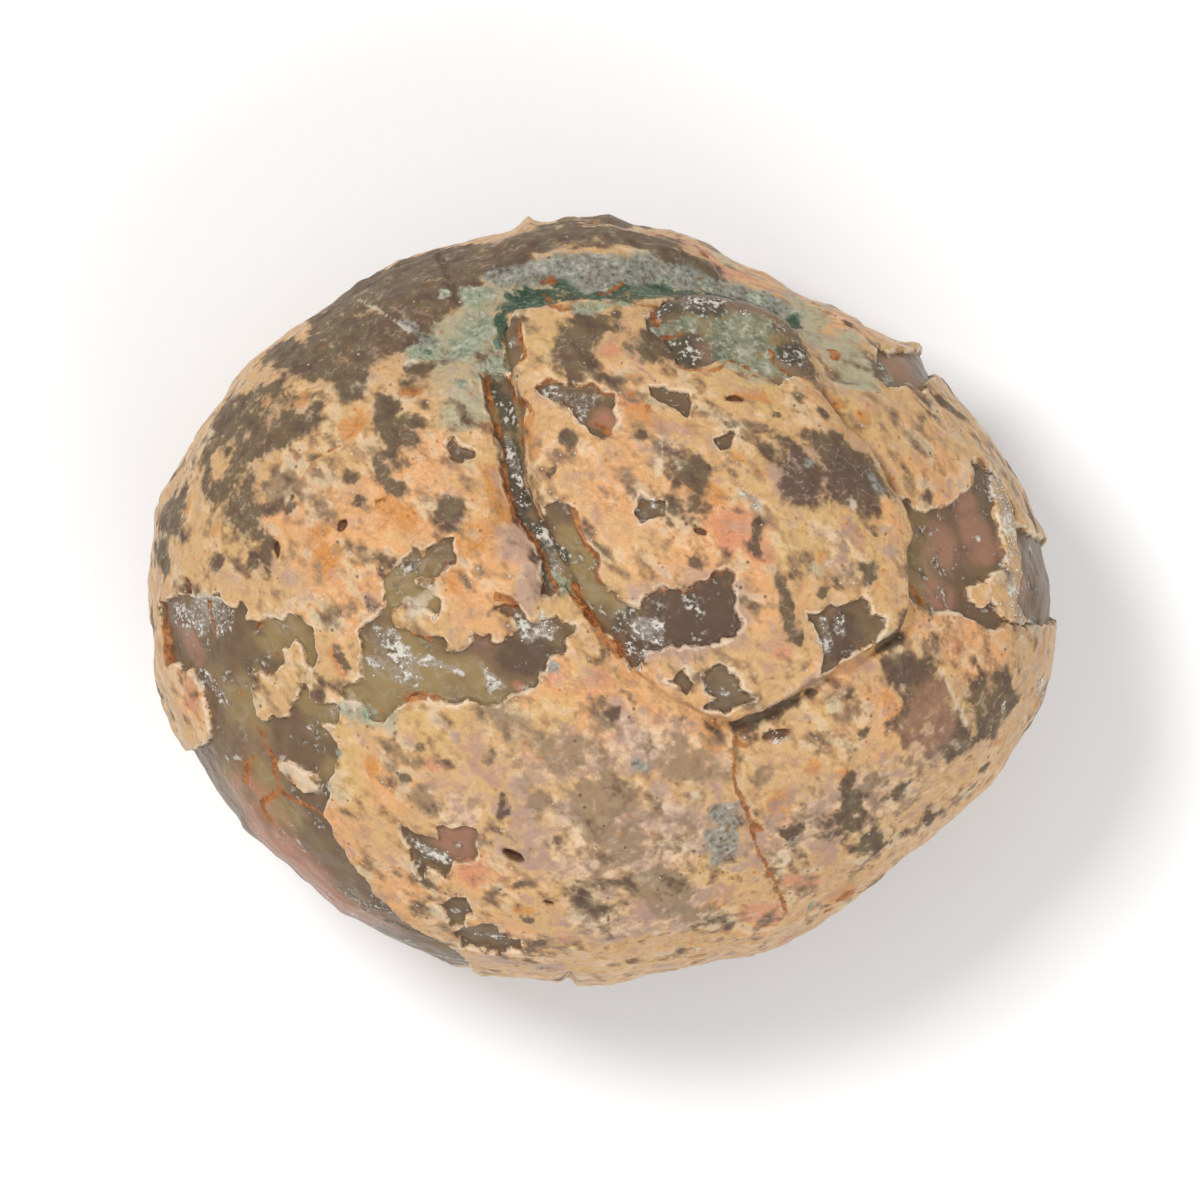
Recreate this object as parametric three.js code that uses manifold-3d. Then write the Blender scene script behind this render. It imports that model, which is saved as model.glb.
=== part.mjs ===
// An agate nodule: one closed stone, a little flattened, lying on a small flat spot.
// A porcelain-like skin covers it. The skin has chipped away in windows that show the agate, a raised
// lobe stands on the upper side behind a groove, and pits, cracks and low swells mark the rest.
// Millimetres, +Z up, the origin under the middle of the stone on the surface it lies on.
import * as THREE from "three";
import { mergeVertices } from "three/addons/utils/BufferGeometryUtils.js";
import Module from "manifold-3d";

// ---- Driving dimensions ----
const HEIGHT = 67; // from the flat spot to the crown
const WIDEST_AT = 30; // height of the widest section
const SUNK = 1; // how far the round underside is cut off flat
const CROWN_POWER = 2.35; // superellipse power of the upper side, 2 is an ellipsoid
const UNDERSIDE_POWER = 2.2;
const RIM_BAND = 15; // degrees of latitude over which the rim's small bumps fade
const SKIN = 0.95; // thickness of the skin at a chipped edge
const LOBE_STEP = 2.7; // how far the raised lobe stands above its surroundings
const LOBE_SHOULDER = 7; // width over which the lobe's edge rounds over
const GROOVE_DEPTH = 1.7;
const SADDLE_DEPTH = 1.7;
const LEDGE_SHARE = 0.5; // how much of the lobe's step is a ledge; the rest is its round shoulder
const LEDGE_WIDTH = 0.9; // from a ledge's brink to its foot, as seen from above
const SWELL = 0.95; // height of the stone's low random swells
const SWELL_SIZE = 16;
const RIPPLE = 0.32; // height of the finer unevenness
const RIPPLE_SIZE = 5;

// A pit is flat out to PIT_FLOOR of its half size and rises over PIT_WALL of it
const PIT_FLOOR = 0.55;
const PIT_WALL = 0.8;

// Polar angles, from the crown down: the hidden side's relief takes over between these
const UNDERSIDE_FROM = 1.75;
const UNDERSIDE_FULL = 2.1;
const OUTLINES_TO = 2.3; // the map of the outlines ends here

// Mesh sizes: a side is at most FINE long on a ledge, and grows with distance to COARSE
const BALL_DETAIL = 11; // of the even ball that the mesh starts from
const FINE = 2.1;
const COARSE = 6;
const GROWTH = 1.9;
const ROUNDS = 4;
const SUNK_DETAIL = 0.35; // a sunk line counts as this share of its half width from fine detail
const PIT_DETAIL = -0.5; // a pit counts as finer than a ledge
const PIT_EDGE = 0.05; // depth at which a pit begins
const WELD = 1e-4;

// ---- Outlines, [x, y] as seen from above ----
// A point outside RIM lies on the underside, as far in from the rim as it is drawn out from it.

const RIM = [
  [57.7, 0], [57.3, 3.1], [56, 8.3], [53.7, 12.6], [51, 17.7], [49.5, 20.5], [47.1, 23.3], [45.1, 25.4],
  [43.4, 28], [42.3, 28.9], [41.6, 30.9], [40.1, 32.6], [37.4, 32.8], [33.7, 34.2], [32.5, 35.2],
  [29.1, 36.9], [24.9, 38], [20.5, 40.7], [16.5, 42.5], [13.5, 44.5], [9.5, 46.2], [4.5, 47.3], [2.2, 48.4],
  [1, 48.8], [-1.5, 48.4], [-4, 48.6], [-6.6, 47.9], [-8.3, 47.9], [-8.8, 48.5], [-10.4, 47.3],
  [-12.1, 46.2], [-17.1, 45.1], [-21.8, 43.8], [-24.9, 42.7], [-29.8, 39.8], [-33, 37], [-37.2, 34.3],
  [-41.2, 31.7], [-43.6, 30.2], [-45.2, 28.7], [-48.5, 23.7], [-50.6, 21.3], [-53.2, 16.6], [-55.1, 13.1],
  [-55.9, 11], [-55.9, 8], [-56.7, 3.2], [-56.7, 1], [-56.5, -2.5], [-56.4, -5], [-56, -9.8],
  [-54.9, -13.4], [-53.6, -16.5], [-51.2, -20.7], [-48.8, -24.4], [-46.1, -27.9], [-45.6, -28.9],
  [-41.3, -32.7], [-39.5, -34], [-35.8, -37.8], [-33.2, -40.3], [-30.8, -41.2], [-25.8, -43.9],
  [-20, -46.1], [-15.1, -47], [-10.6, -47.7], [-5.1, -48.4], [-3.9, -48], [-3.1, -48.7], [1.5, -48.7],
  [6.5, -47], [10.5, -46.2], [15, -44.9], [19, -44.7], [23.1, -43.3], [25.6, -41.8], [30, -38.7],
  [34, -35.3], [37.5, -31.8], [40.3, -30.1], [45.4, -26.2], [49.5, -22.9], [53.6, -16.7], [56, -11.6],
  [57.1, -6], [57.4, -3],
];

// The raised lobe's foot, with the stained part behind it
const LOBE = [
  [-12, 33.5], [-11.5, 30], [-10.5, 27], [-9.6, 22], [-9.4, 16], [-8.2, 12.5], [-5.8, 7.5], [-3, 1.5],
  [0, -3.2], [1.6, -4.9], [4.5, -8.9], [9, -12.2], [14, -14.6], [16.5, -15], [20.5, -13.8], [25, -11.5],
  [26.5, -10], [31.5, -7.4], [35.7, -5], [37.6, -4.3], [39, -1.6], [39.2, 1.2], [38.9, 5.8], [39.6, 8],
  [38.6, 11.2], [37.2, 13.5], [36.6, 15.4], [34.1, 18.9], [31.2, 22.3], [28, 25.6], [27, 28.5], [25.5, 32.5],
  [23, 35.4], [18.5, 37], [14, 38.8], [11, 38.9], [7.8, 37.5], [5.4, 35.6], [3, 37.7], [0, 38.5],
  [-3, 38.2], [-7.5, 36.8], [-10.5, 35.6],
];

// Windows where the skin has chipped off and the agate shows
const WINDOWS = {
  leftBank: [
    [-55.3, -0.6], [-53.5, 0.3], [-52.3, 0.9], [-50, 0.2], [-47.4, 0.5], [-45.9, -0.8], [-44.8, -0.3],
    [-44.4, -2.7], [-42, -1.9], [-40.8, -2.3], [-39, -1.6], [-36.6, -3.6], [-35.9, -4.6], [-36, -7.6],
    [-36.6, -9.1], [-37.4, -8], [-38.3, -5], [-40.3, -6.3], [-40.2, -7.6], [-42.5, -9.3], [-44.2, -9],
    [-44.7, -11.2], [-44.6, -13.2], [-42.8, -15.7], [-41.6, -14.9], [-39.8, -14.9], [-38.6, -12],
    [-37.7, -11], [-36, -12.9], [-33.5, -12.5], [-32.8, -14.8], [-35, -15.6], [-33.2, -18], [-33.2, -20],
    [-34, -24.2], [-34.5, -26.5], [-33.7, -28.2], [-31.6, -32], [-29.8, -35.4], [-26.3, -38.4], [-25, -40.1],
    [-20.5, -43], [-16.5, -45.8], [-14.5, -52], [-22, -60], [-40, -56], [-58, -42], [-66, -24],
    [-57, -21.5], [-51.6, -18.9], [-50.3, -18.5], [-49.6, -17.3], [-50.4, -13], [-52.1, -9], [-54.4, -7.8],
    [-54.6, -4],
  ],
  middleHollow: [
    [-27.3, 2.8], [-25.3, 4.9], [-23.6, 6.2], [-23.4, 7], [-22.4, 5.6], [-20.3, 7.1], [-18.6, 7.4],
    [-18.3, 4.3], [-19.5, 4.2], [-20.8, 2.4], [-23.2, 3], [-22.9, 1.8], [-20.6, 0.7], [-20, -1.2],
    [-21.3, -1.2], [-23.5, -1], [-24, 0], [-26.3, -1.6], [-25.4, -3.7], [-24, -3.5], [-21.6, -4.9],
    [-20.2, -4.4], [-19.7, -6.5], [-16.7, -5.7], [-15.9, -4.1], [-12.8, -5.4], [-10.5, -4], [-10.6, -2.5],
    [-13.3, -0.8], [-10.6, -0.6], [-8.2, -2.6], [-6, -2.2], [-3, -2.8], [-4.3, -4.8], [-4.4, -7],
    [-6.3, -7.5], [-8.1, -11.4], [-12, -12.1], [-13.5, -13.3], [-16.4, -12.7], [-18.3, -13.5],
    [-22.6, -11.5], [-26.4, -14], [-27.2, -15.3], [-28.8, -14.8], [-29.1, -13.4], [-32.3, -12],
    [-32.5, -11], [-30, -9.9], [-30.1, -4.9], [-30.5, -4.1], [-28, -1.7], [-26.8, 0.8],
  ],
  rightWindow: [
    [37.4, 14], [39.3, 12.7], [40.2, 11.5], [41.5, 11.2], [44.5, 12.3], [46.9, 14.4], [46.8, 18],
    [49.5, 16.3], [51.3, 13.2], [52.6, 10], [55.2, 8.4], [60, 8], [62, 2], [60, -4], [56.5, -3.2],
    [53.8, -3.4], [51.4, -2.6], [50.2, -4], [46.2, -2], [42.8, -1.5], [40.4, -0.6], [39.2, 2.5], [39, 6.3],
    [39.8, 7.6], [38.8, 11],
  ],
  lobeWall: [
    [-6.6, 12.6], [-3.9, 12], [-2.9, 9.7], [-2, 7], [0, 5.9], [-0.3, 4], [1.2, 1.2], [3.3, -0.6],
    [5.4, -0.6], [7.8, 1.5], [11.2, 1.2], [14, 2.7], [16.2, 3.9], [17.1, 1.2], [17.1, -1], [18.3, -2.8],
    [16.6, -5], [15, -5.8], [9.2, -5.6], [6.2, -6.3], [5.2, -8.8], [2.6, -6.2], [0, -3.6], [-2.5, 0.5],
    [-5, 5], [-7.3, 9.8],
  ],
  lobeTip: [
    [26.2, -1.5], [29, -0.9], [31, -0.8], [33, 0.2], [34.5, -2], [36.3, -2.5], [35, -5], [32.5, -6.5],
    [29.5, -8.5], [27.5, -9.2], [28.3, -7.5], [28.3, -5], [27.2, -3],
  ],
  stainedLobe: [
    [26, 27.1], [22.3, 26], [18, 28.7], [15.5, 29.5], [11, 28.5], [8.9, 31], [6.2, 33.6], [5.5, 35],
    [9, 38.6], [14, 39], [20.5, 36.5], [24.8, 34.3], [27.3, 28.5],
  ],
  topChip: [
    [-8, 26], [-6.5, 27.5], [-3, 27], [-1, 27.3], [2, 25.7], [1.5, 24], [2, 22], [0.5, 20.3], [-1.5, 21.2],
    [-3.5, 24],
  ],
  lobeChip: [[6, 27], [8, 27], [8.5, 26], [11, 25.5], [10.8, 22.3], [9, 23.8], [6.3, 25.4]],
  lowerLeftChip: [
    [-25.2, -29.2], [-25, -28], [-22, -29.3], [-20.2, -29.8], [-20.3, -28.3], [-16.9, -27.8], [-15.6, -28.2],
    [-15.2, -31.5], [-15.6, -32.7], [-18.3, -32.5], [-19.5, -34.6], [-22, -33.4], [-22.8, -34.8],
    [-23.5, -33.3],
  ],
  lowerMiddleChip: [
    [-20.8, -37.7], [-18.3, -37.2], [-16.8, -36.9], [-15.3, -39.7], [-17, -39.5], [-17, -41.2],
    [-18.5, -41.2], [-19.7, -39],
  ],
  lowerEdgeChip: [
    [-18.5, -41.8], [-14.7, -40.3], [-13, -40.5], [-11, -42.3], [-9.8, -42], [-9.9, -43.8], [-13, -44.5],
    [-17.2, -44],
  ],
  pocket: [[-19, 19.4], [-18.2, 20], [-15.5, 18.2], [-15.6, 17.5], [-17.2, 16.9], [-18.5, 17.4]],
  topRightKnob: [
    [35.2, 32.2], [38, 32.1], [44, 32.5], [44, 29.5], [41.3, 27.6], [41, 26.2], [38, 27.4], [36, 29.2],
  ],
};

// Flakes of skin left standing inside a window
const FLAKES = {
  pebbleFlake: [[-40.9, -20.3], [-40, -20.3], [-35.8, -22.3], [-35.6, -24], [-37, -24.6], [-39.8, -22.3]],
  ribbonFlake: [
    [49, 16.2], [51, 13.5], [52.8, 9.5], [53.4, 5.8], [53.7, 2.8], [53.8, -2], [54, -3.2], [52.5, -3],
    [50.3, 0], [47.6, 0.3], [48.8, 2.4], [51.5, 4.2], [51.3, 7.5], [49.8, 12],
  ],
};

// Sunk lines: [x, y] along the line, then its half width and depth
const GROOVE = {
  line: [
    [-13.2, 31], [-12.6, 24], [-11.4, 18], [-10, 12.5], [-7, 7], [-4.5, 2.5], [-1.4, -2.4], [3.6, -8.6],
  ],
  halfWidth: 2.2,
  depth: GROOVE_DEPTH,
};
const SADDLE = {
  line: [[-20, 32], [-14, 37], [-7, 40.5], [3, 41], [12, 41], [20, 38.5], [27, 34.5], [30, 29]],
  halfWidth: 4.5,
  depth: SADDLE_DEPTH,
};
const LOBE_FOOT = {
  line: [[37, 14.6], [34.6, 18.9], [31.6, 22.4], [28.4, 25.8]],
  halfWidth: 1.3,
  depth: 1.1,
};
const CRACKS = {
  rustyFurrow: {
    line: [[17.2, -15.5], [18.2, -23], [19.5, -28.5], [21.3, -34], [23.8, -40.2]],
    halfWidth: 2.2,
    depth: 0.4,
  },
  topCrack: { line: [[-20.3, 43.5], [-19.2, 41.2], [-17.8, 37.2]], halfWidth: 1.1, depth: 0.6 },
  bottomNotch: { line: [[-3.7, -46.7], [-3.8, -47.4], [-3.9, -48.2]], halfWidth: 1.1, depth: 0.9 },
};

// Pits: [x, y, half length, half width, turn in degrees, depth]
const PITS = [
  [-10.6, -31.3, 2.1, 1.1, -42, 1.7],
  [-6.4, -37.2, 1.3, 0.8, -60, 0.9],
  [-32.1, 9.2, 1.2, 0.9, 30, 0.9],
  [-40.3, 6.3, 0.8, 1.5, 15, 0.8],
  [-51.5, 1.8, 1.9, 1.4, -40, 0.9],
  [12.3, -44.3, 2.1, 1.5, 0, 1.6],
  [22, -16.6, 2.2, 1.2, 10, 0.9],
  [16.5, 24.3, 1.6, 0.8, -15, 0.8],
  [13, 8.5, 1, 0.8, -40, 0.7],
];

// Broad swells and hollows: [x, y, radius, height]
const SWELLS = [
  [-32, 14, 20, 1.7],
  [-3, -29, 18, 1.5],
  [38, -17, 14, 1.1],
  [-22, 38, 9, 0.9],
  [18, 12, 20, 1.4],
  [-43, -16, 12, -0.9],
  [45, 6, 9, -0.9],
  [-13, -8, 8, -0.9],
  [13, 46, 9, 0.5],
];

// The underside: [x, y, radius, height] of its swells, and how much of its skin has chipped
const UNDERSIDE_SWELLS = [
  [24, 16, 16, 1.3],
  [-26, -12, 18, 1.5],
  [10, -30, 12, -1.4],
  [-20, 26, 11, -1.2],
];
const CHIPPED_ABOVE = 0.21; // noise level above which the hidden side's skin is gone
const CHIP_SCALE = 21; // size of the hidden side's chips
const CHIP_SLOPE = 0.6; // turns the noise into about the distance to a chip's edge

// ---- Small maths ----
const smooth = (x) => {
  const t = Math.min(Math.max(x, 0), 1);
  return t * t * (3 - 2 * t);
};
const bell = (x) => Math.exp(-x * x);
const power = (x, e) => Math.sign(x) * Math.pow(Math.abs(x), e);

// A fixed pseudo-random value from -1 to 1 for each point of a whole-number grid
function gridValue(i, j, k) {
  let h = Math.imul(i, 374761393) ^ Math.imul(j, 668265263) ^ Math.imul(k, 1274126177);
  h = Math.imul(h ^ (h >>> 13), 1103515245);
  return ((h ^ (h >>> 16)) >>> 0) / 2147483648 - 1;
}

// Smooth noise from -1 to 1, with lumps about one unit across
function noise(x, y, z) {
  const [i, j, k] = [Math.floor(x), Math.floor(y), Math.floor(z)];
  const [u, v, w] = [smooth(x - i), smooth(y - j), smooth(z - k)];
  const mix = THREE.MathUtils.lerp;
  const edge = (b, c) => mix(gridValue(i, b, c), gridValue(i + 1, b, c), u);
  const face = (c) => mix(edge(j, c), edge(j + 1, c), v);
  return mix(face(k), face(k + 1), w);
}

// Noise with a second octave half the size
const noise2 = (p, size) =>
  (noise(p.x / size, p.y / size, p.z / size) +
    0.5 * noise((2 * p.x) / size + 7, (2 * p.y) / size + 3, (2 * p.z) / size + 5)) / 1.5;

// ---- The rim, and the unrolled map that outlines are measured on ----
// A place on the stone is a bearing round the vertical and a polar angle from the crown down.

const RIM_STEPS = 720;
const RIM_SMOOTHING = 30; // steps to each side
const rimTable = makeRimTable();
const smoothRimTable = rimTable.map((_, n) => {
  let sum = 0;
  for (let d = -RIM_SMOOTHING; d <= RIM_SMOOTHING; d++) sum += rimTable[(n + d + RIM_STEPS) % RIM_STEPS];
  return sum / (2 * RIM_SMOOTHING + 1);
});

// The rim's radius at each of RIM_STEPS bearings, by crossing each ray with the outline's sides
function makeRimTable() {
  const table = [];
  for (let n = 0; n < RIM_STEPS; n++) {
    const bearing = (n / RIM_STEPS) * 2 * Math.PI;
    const [dx, dy] = [Math.cos(bearing), Math.sin(bearing)];
    let radius = 0;
    RIM.forEach(([ax, ay], m) => {
      const [bx, by] = RIM[(m + 1) % RIM.length];
      const [ex, ey] = [bx - ax, by - ay];
      const cross = dx * ey - dy * ex;
      const along = (ax * dy - ay * dx) / cross;
      const out = (ax * ey - ay * ex) / cross;
      if (along >= 0 && along <= 1 && out > 0) radius = Math.max(radius, out);
    });
    table.push(radius);
  }
  return table;
}

function lookUp(table, bearing) {
  const turn = ((bearing / (2 * Math.PI)) % 1 + 1) % 1;
  const n = turn * RIM_STEPS;
  const low = Math.floor(n) % RIM_STEPS;
  return THREE.MathUtils.lerp(table[low], table[(low + 1) % RIM_STEPS], n - Math.floor(n));
}

// The stone's radius at a bearing: its small bumps belong to the rim and fade above and below it
function radiusAt(bearing, polar) {
  const fromRim = THREE.MathUtils.radToDeg(polar - Math.PI / 2) / RIM_BAND;
  const near = bell(fromRim);
  return THREE.MathUtils.lerp(lookUp(smoothRimTable, bearing), lookUp(rimTable, bearing), near);
}

const MAP_SCALE = 56; // one millimetre on the map is about one on the stone near the crown
const STRETCH_STEADY = 2; // polar angle beyond which the map stretches no further
const LEAST_SINE = 0.2;
const mapPoint = (bearing, angle) => [
  MAP_SCALE * angle * Math.cos(bearing),
  MAP_SCALE * angle * Math.sin(bearing),
];

// The map grows towards the rim, so a distance measured on it is divided by this
function mapStretch(angle) {
  const sine = Math.sin(Math.min(angle, STRETCH_STEADY));
  return Math.max(1, angle / Math.max(sine, LEAST_SINE));
}

// Where a point of an outline, as seen from above, falls on the map
function unroll([x, y]) {
  const bearing = Math.atan2(y, x);
  const share = Math.hypot(x, y) / lookUp(rimTable, bearing);
  const inner = Math.min(share, 2 - share);
  const angle = Math.asin(Math.pow(Math.max(inner, 0), CROWN_POWER / 2));
  return mapPoint(bearing, share <= 1 ? angle : Math.PI - angle);
}

// Distance from a map point to a line or outline, negative inside a closed outline
function distanceTo(points, [x, y], closed) {
  let nearest = Infinity;
  let inside = false;
  for (let n = closed ? 0 : 1; n < points.length; n++) {
    const [ax, ay] = points[(n + points.length - 1) % points.length];
    const [bx, by] = points[n];
    const [ex, ey] = [bx - ax, by - ay];
    const t = Math.min(Math.max(((x - ax) * ex + (y - ay) * ey) / (ex * ex + ey * ey), 0), 1);
    nearest = Math.min(nearest, Math.hypot(x - ax - t * ex, y - ay - t * ey));
    if (ay > y !== by > y && x < ax + ((y - ay) * ex) / ey) inside = !inside;
  }
  return closed && inside ? -nearest : nearest;
}

const unrolled = (outlines) => Object.values(outlines).map((points) => points.map(unroll));
const LOBE_MAP = LOBE.map(unroll);
const WINDOW_MAPS = unrolled(WINDOWS);
const FLAKE_MAPS = unrolled(FLAKES);
const SUNK_LINES = [GROOVE, SADDLE, LOBE_FOOT, ...Object.values(CRACKS)].map((sunk) => ({
  ...sunk,
  line: sunk.line.map(unroll),
}));

// ---- The stone's surface ----

// The smooth form, before any relief
function bodyPoint(bearing, polar) {
  const upper = polar <= Math.PI / 2;
  const exponent = 2 / (upper ? CROWN_POWER : UNDERSIDE_POWER);
  const rise = upper ? HEIGHT - WIDEST_AT : WIDEST_AT + SUNK;
  const out = radiusAt(bearing, polar) * power(Math.sin(polar), exponent);
  return new THREE.Vector3(
    out * Math.cos(bearing),
    out * Math.sin(bearing),
    WIDEST_AT + rise * power(Math.cos(polar), exponent),
  );
}

// Outward direction of the smooth form, from two short steps along it
function bodyNormal(bearing, polar) {
  const step = 0.03;
  const tilt = Math.min(Math.max(polar, 2 * step), Math.PI - 2 * step);
  const east = bodyPoint(bearing + step, tilt).sub(bodyPoint(bearing - step, tilt));
  const down = bodyPoint(bearing, tilt + step).sub(bodyPoint(bearing, tilt - step));
  return down.cross(east).normalize();
}

// Swells and pits are round places near a point; both fade smoothly
const swellAt = (swells, [x, y]) =>
  swells.reduce((sum, [cx, cy, radius, height]) => {
    const [mx, my] = unroll([cx, cy]);
    return sum + height * bell(Math.hypot(x - mx, y - my) / radius);
  }, 0);

function pitAt([x, y]) {
  let depth = 0;
  for (const [cx, cy, long, wide, turn, deep] of PITS) {
    const [mx, my] = unroll([cx, cy]);
    const angle = THREE.MathUtils.degToRad(turn);
    const [dx, dy] = [x - mx, y - my];
    const along = (dx * Math.cos(angle) + dy * Math.sin(angle)) / long;
    const across = (dy * Math.cos(angle) - dx * Math.sin(angle)) / wide;
    const share = Math.hypot(along, across);
    depth = Math.max(depth, deep * (1 - smooth((share - PIT_FLOOR) / PIT_WALL)));
  }
  return depth;
}

// How much of a ledge is left at a signed distance from its middle: 0 outside to 1 inside
const rampAt = (inside) => smooth(inside / LEDGE_WIDTH + 0.5);

const nearer = (a, b) => (Math.abs(a) < Math.abs(b) ? a : b);

// Relief of the side that outlines draw: its height, the signed distance to the nearest ledge,
// and how far off the nearest thing that needs a fine mesh is
function upperRelief(bearing, polar) {
  const at = mapPoint(bearing, polar);
  const stretch = mapStretch(polar);
  const far = (points, closed) => distanceTo(points, at, closed) / stretch;

  const lobe = -far(LOBE_MAP, true);
  const shoulder = Math.min(Math.max(lobe / LOBE_SHOULDER, 0), 1);
  const round = Math.sqrt(1 - (1 - shoulder) ** 2);
  let height = LOBE_STEP * (LEDGE_SHARE * rampAt(lobe) + (1 - LEDGE_SHARE) * round);

  const flake = Math.min(...FLAKE_MAPS.map((points) => far(points, true)));
  const window = Math.max(Math.min(...WINDOW_MAPS.map((points) => far(points, true))), -flake);
  height -= SKIN * rampAt(-window);

  const ledge = nearer(lobe, window);
  let detail = Math.abs(ledge);
  for (const { line, halfWidth, depth } of SUNK_LINES) {
    const away = far(line, false);
    height -= depth * bell(away / halfWidth);
    detail = Math.min(detail, Math.max(away - halfWidth, 0) + SUNK_DETAIL * halfWidth);
  }
  const pit = pitAt(at);
  height -= pit;
  if (pit > PIT_EDGE) detail = PIT_DETAIL;
  return { height: height + swellAt(SWELLS, at), ledge, detail };
}

// Relief of the hidden side: swells of its own, and chips where a noise is high
function undersideRelief(bearing, polar, at) {
  const height = swellAt(UNDERSIDE_SWELLS, mapPoint(bearing, Math.PI - polar));
  const chip = (noise2(at, CHIP_SCALE) - CHIPPED_ABOVE) * CHIP_SCALE * CHIP_SLOPE;
  return { height: height - SKIN * rampAt(chip), ledge: chip, detail: Math.abs(chip) };
}

// The surface point in a direction from the stone's middle, with its distances to ledge and detail
function surfaceAt(direction) {
  const bearing = Math.atan2(direction.y, direction.x);
  const polar = Math.acos(Math.min(Math.max(direction.z, -1), 1));
  const point = bodyPoint(bearing, polar);
  const normal = bodyNormal(bearing, polar);
  const upper = upperRelief(bearing, Math.min(polar, OUTLINES_TO));
  const under = undersideRelief(bearing, polar, point);
  const below = smooth((polar - UNDERSIDE_FROM) / (UNDERSIDE_FULL - UNDERSIDE_FROM));
  const height =
    THREE.MathUtils.lerp(upper.height, under.height, below) +
    SWELL * noise2(point, SWELL_SIZE) +
    RIPPLE * noise2(point, RIPPLE_SIZE);
  const { ledge, detail } = below < 0.5 ? upper : under;
  return { point: point.addScaledVector(normal, height), ledge, detail };
}

// ---- The mesh: a ball of even triangles, split where a ledge needs finer ones ----

const edgeKey = (a, b) => (a < b ? a + "_" + b : b + "_" + a);

// Splits the marked sides of a triangle, keeping its turning sense
function splitTriangle([a, b, c], middle) {
  const [ab, bc, ca] = [middle(a, b), middle(b, c), middle(c, a)];
  const found = [ab, bc, ca].filter((m) => m !== undefined).length;
  if (found === 0) return [[a, b, c]];
  if (found === 3) return [[a, ab, ca], [ab, b, bc], [ca, bc, c], [ab, bc, ca]];
  if (found === 1) {
    if (ab !== undefined) return [[a, ab, c], [ab, b, c]];
    if (bc !== undefined) return [[a, b, bc], [a, bc, c]];
    return [[a, b, ca], [ca, b, c]];
  }
  if (ab === undefined) return [[a, b, bc], [a, bc, ca], [ca, bc, c]];
  if (bc === undefined) return [[a, ab, ca], [ab, b, c], [ab, c, ca]];
  return [[a, ab, bc], [a, bc, c], [ab, b, bc]];
}

// One round of splitting: every side that is too long, and the longest side of each triangle it touches
function refine(mesh) {
  const { directions, surface, triangles } = mesh;
  const length = (a, b) => surface[a].point.distanceTo(surface[b].point);
  const wanted = (a, b) => {
    const detail = Math.min(surface[a].detail, surface[b].detail);
    return Math.min(FINE + GROWTH * detail, COARSE);
  };
  const sides = ([a, b, c]) => [[a, b], [b, c], [c, a]];
  const marked = new Set();
  for (const triangle of triangles)
    for (const [a, b] of sides(triangle)) if (length(a, b) > wanted(a, b)) marked.add(edgeKey(a, b));
  for (let before = -1; before !== marked.size; ) {
    before = marked.size;
    for (const triangle of triangles) {
      const own = sides(triangle);
      if (!own.some(([a, b]) => marked.has(edgeKey(a, b)))) continue;
      own.sort(([a, b], [c, d]) => length(c, d) - length(a, b));
      marked.add(edgeKey(...own[0]));
    }
  }
  const middles = new Map();
  const middle = (a, b) => {
    const key = edgeKey(a, b);
    if (!marked.has(key)) return undefined;
    if (!middles.has(key)) {
      const direction = directions[a].clone().add(directions[b]).normalize();
      middles.set(key, directions.push(direction) - 1);
      surface.push(surfaceAt(direction));
    }
    return middles.get(key);
  };
  mesh.triangles = triangles.flatMap((triangle) => splitTriangle(triangle, middle));
}

const LEDGE_REACH = 0.9; // how far from a ledge a point may be and still slide onto it
const LEAST_THICKNESS = 0.25; // twice a triangle's area over the square of its longest side
const LEAST_SLOPE = 10; // millimetres of distance to the ledge for each unit of direction

// The direction near this one that lies on its ledge's brink or foot, or itself if that's far off
function onLedge(direction, { ledge }) {
  if (Math.abs(ledge) > LEDGE_REACH) return direction;
  const step = 0.004;
  const east = new THREE.Vector3(-direction.y, direction.x, 1e-6).normalize();
  const slope = [east, east.clone().cross(direction)].map((way) => {
    const beside = surfaceAt(direction.clone().addScaledVector(way, step).normalize());
    return way.clone().multiplyScalar((beside.ledge - ledge) / step);
  });
  const uphill = slope[0].add(slope[1]);
  const wanted = (Math.sign(ledge) * LEDGE_WIDTH) / 2 - ledge;
  if (uphill.length() < LEAST_SLOPE) return direction;
  return direction.clone().addScaledVector(uphill, wanted / uphill.lengthSq()).normalize();
}

// Slides the points beside a ledge onto its brink or foot, where no triangle turns thin by it
function sharpenLedges({ directions, surface, triangles }) {
  const around = directions.map(() => []);
  for (const triangle of triangles) for (const n of triangle) around[n].push(triangle);
  const side = (p, q) => directions[q].clone().sub(directions[p]);
  const sound = ([a, b, c]) => {
    const [ab, bc, ca] = [side(a, b), side(b, c), side(c, a)];
    const longest = Math.max(ab.lengthSq(), bc.lengthSq(), ca.lengthSq());
    return ab.clone().cross(bc).dot(directions[a]) > LEAST_THICKNESS * longest;
  };
  directions.forEach((before, n) => {
    directions[n] = onLedge(before, surface[n]);
    if (!around[n].every(sound)) directions[n] = before;
    if (directions[n] !== before) surface[n] = surfaceAt(directions[n]);
  });
}

function makeStoneMesh() {
  const ball = new THREE.IcosahedronGeometry(1, BALL_DETAIL);
  ball.deleteAttribute("normal");
  ball.deleteAttribute("uv");
  const merged = mergeVertices(ball, WELD);
  const position = merged.getAttribute("position");
  const directions = [];
  for (let n = 0; n < position.count; n++)
    directions.push(new THREE.Vector3().fromBufferAttribute(position, n).normalize());
  const index = merged.index.array;
  const triangles = [];
  for (let n = 0; n < index.length; n += 3) triangles.push([index[n], index[n + 1], index[n + 2]]);
  const mesh = { directions, surface: directions.map(surfaceAt), triangles };
  for (let round = 0; round < ROUNDS; round++) refine(mesh);
  sharpenLedges(mesh);
  return mesh;
}

// ---- The solid, cut off flat where it lies ----

const wasm = await Module();
wasm.setup();

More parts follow.
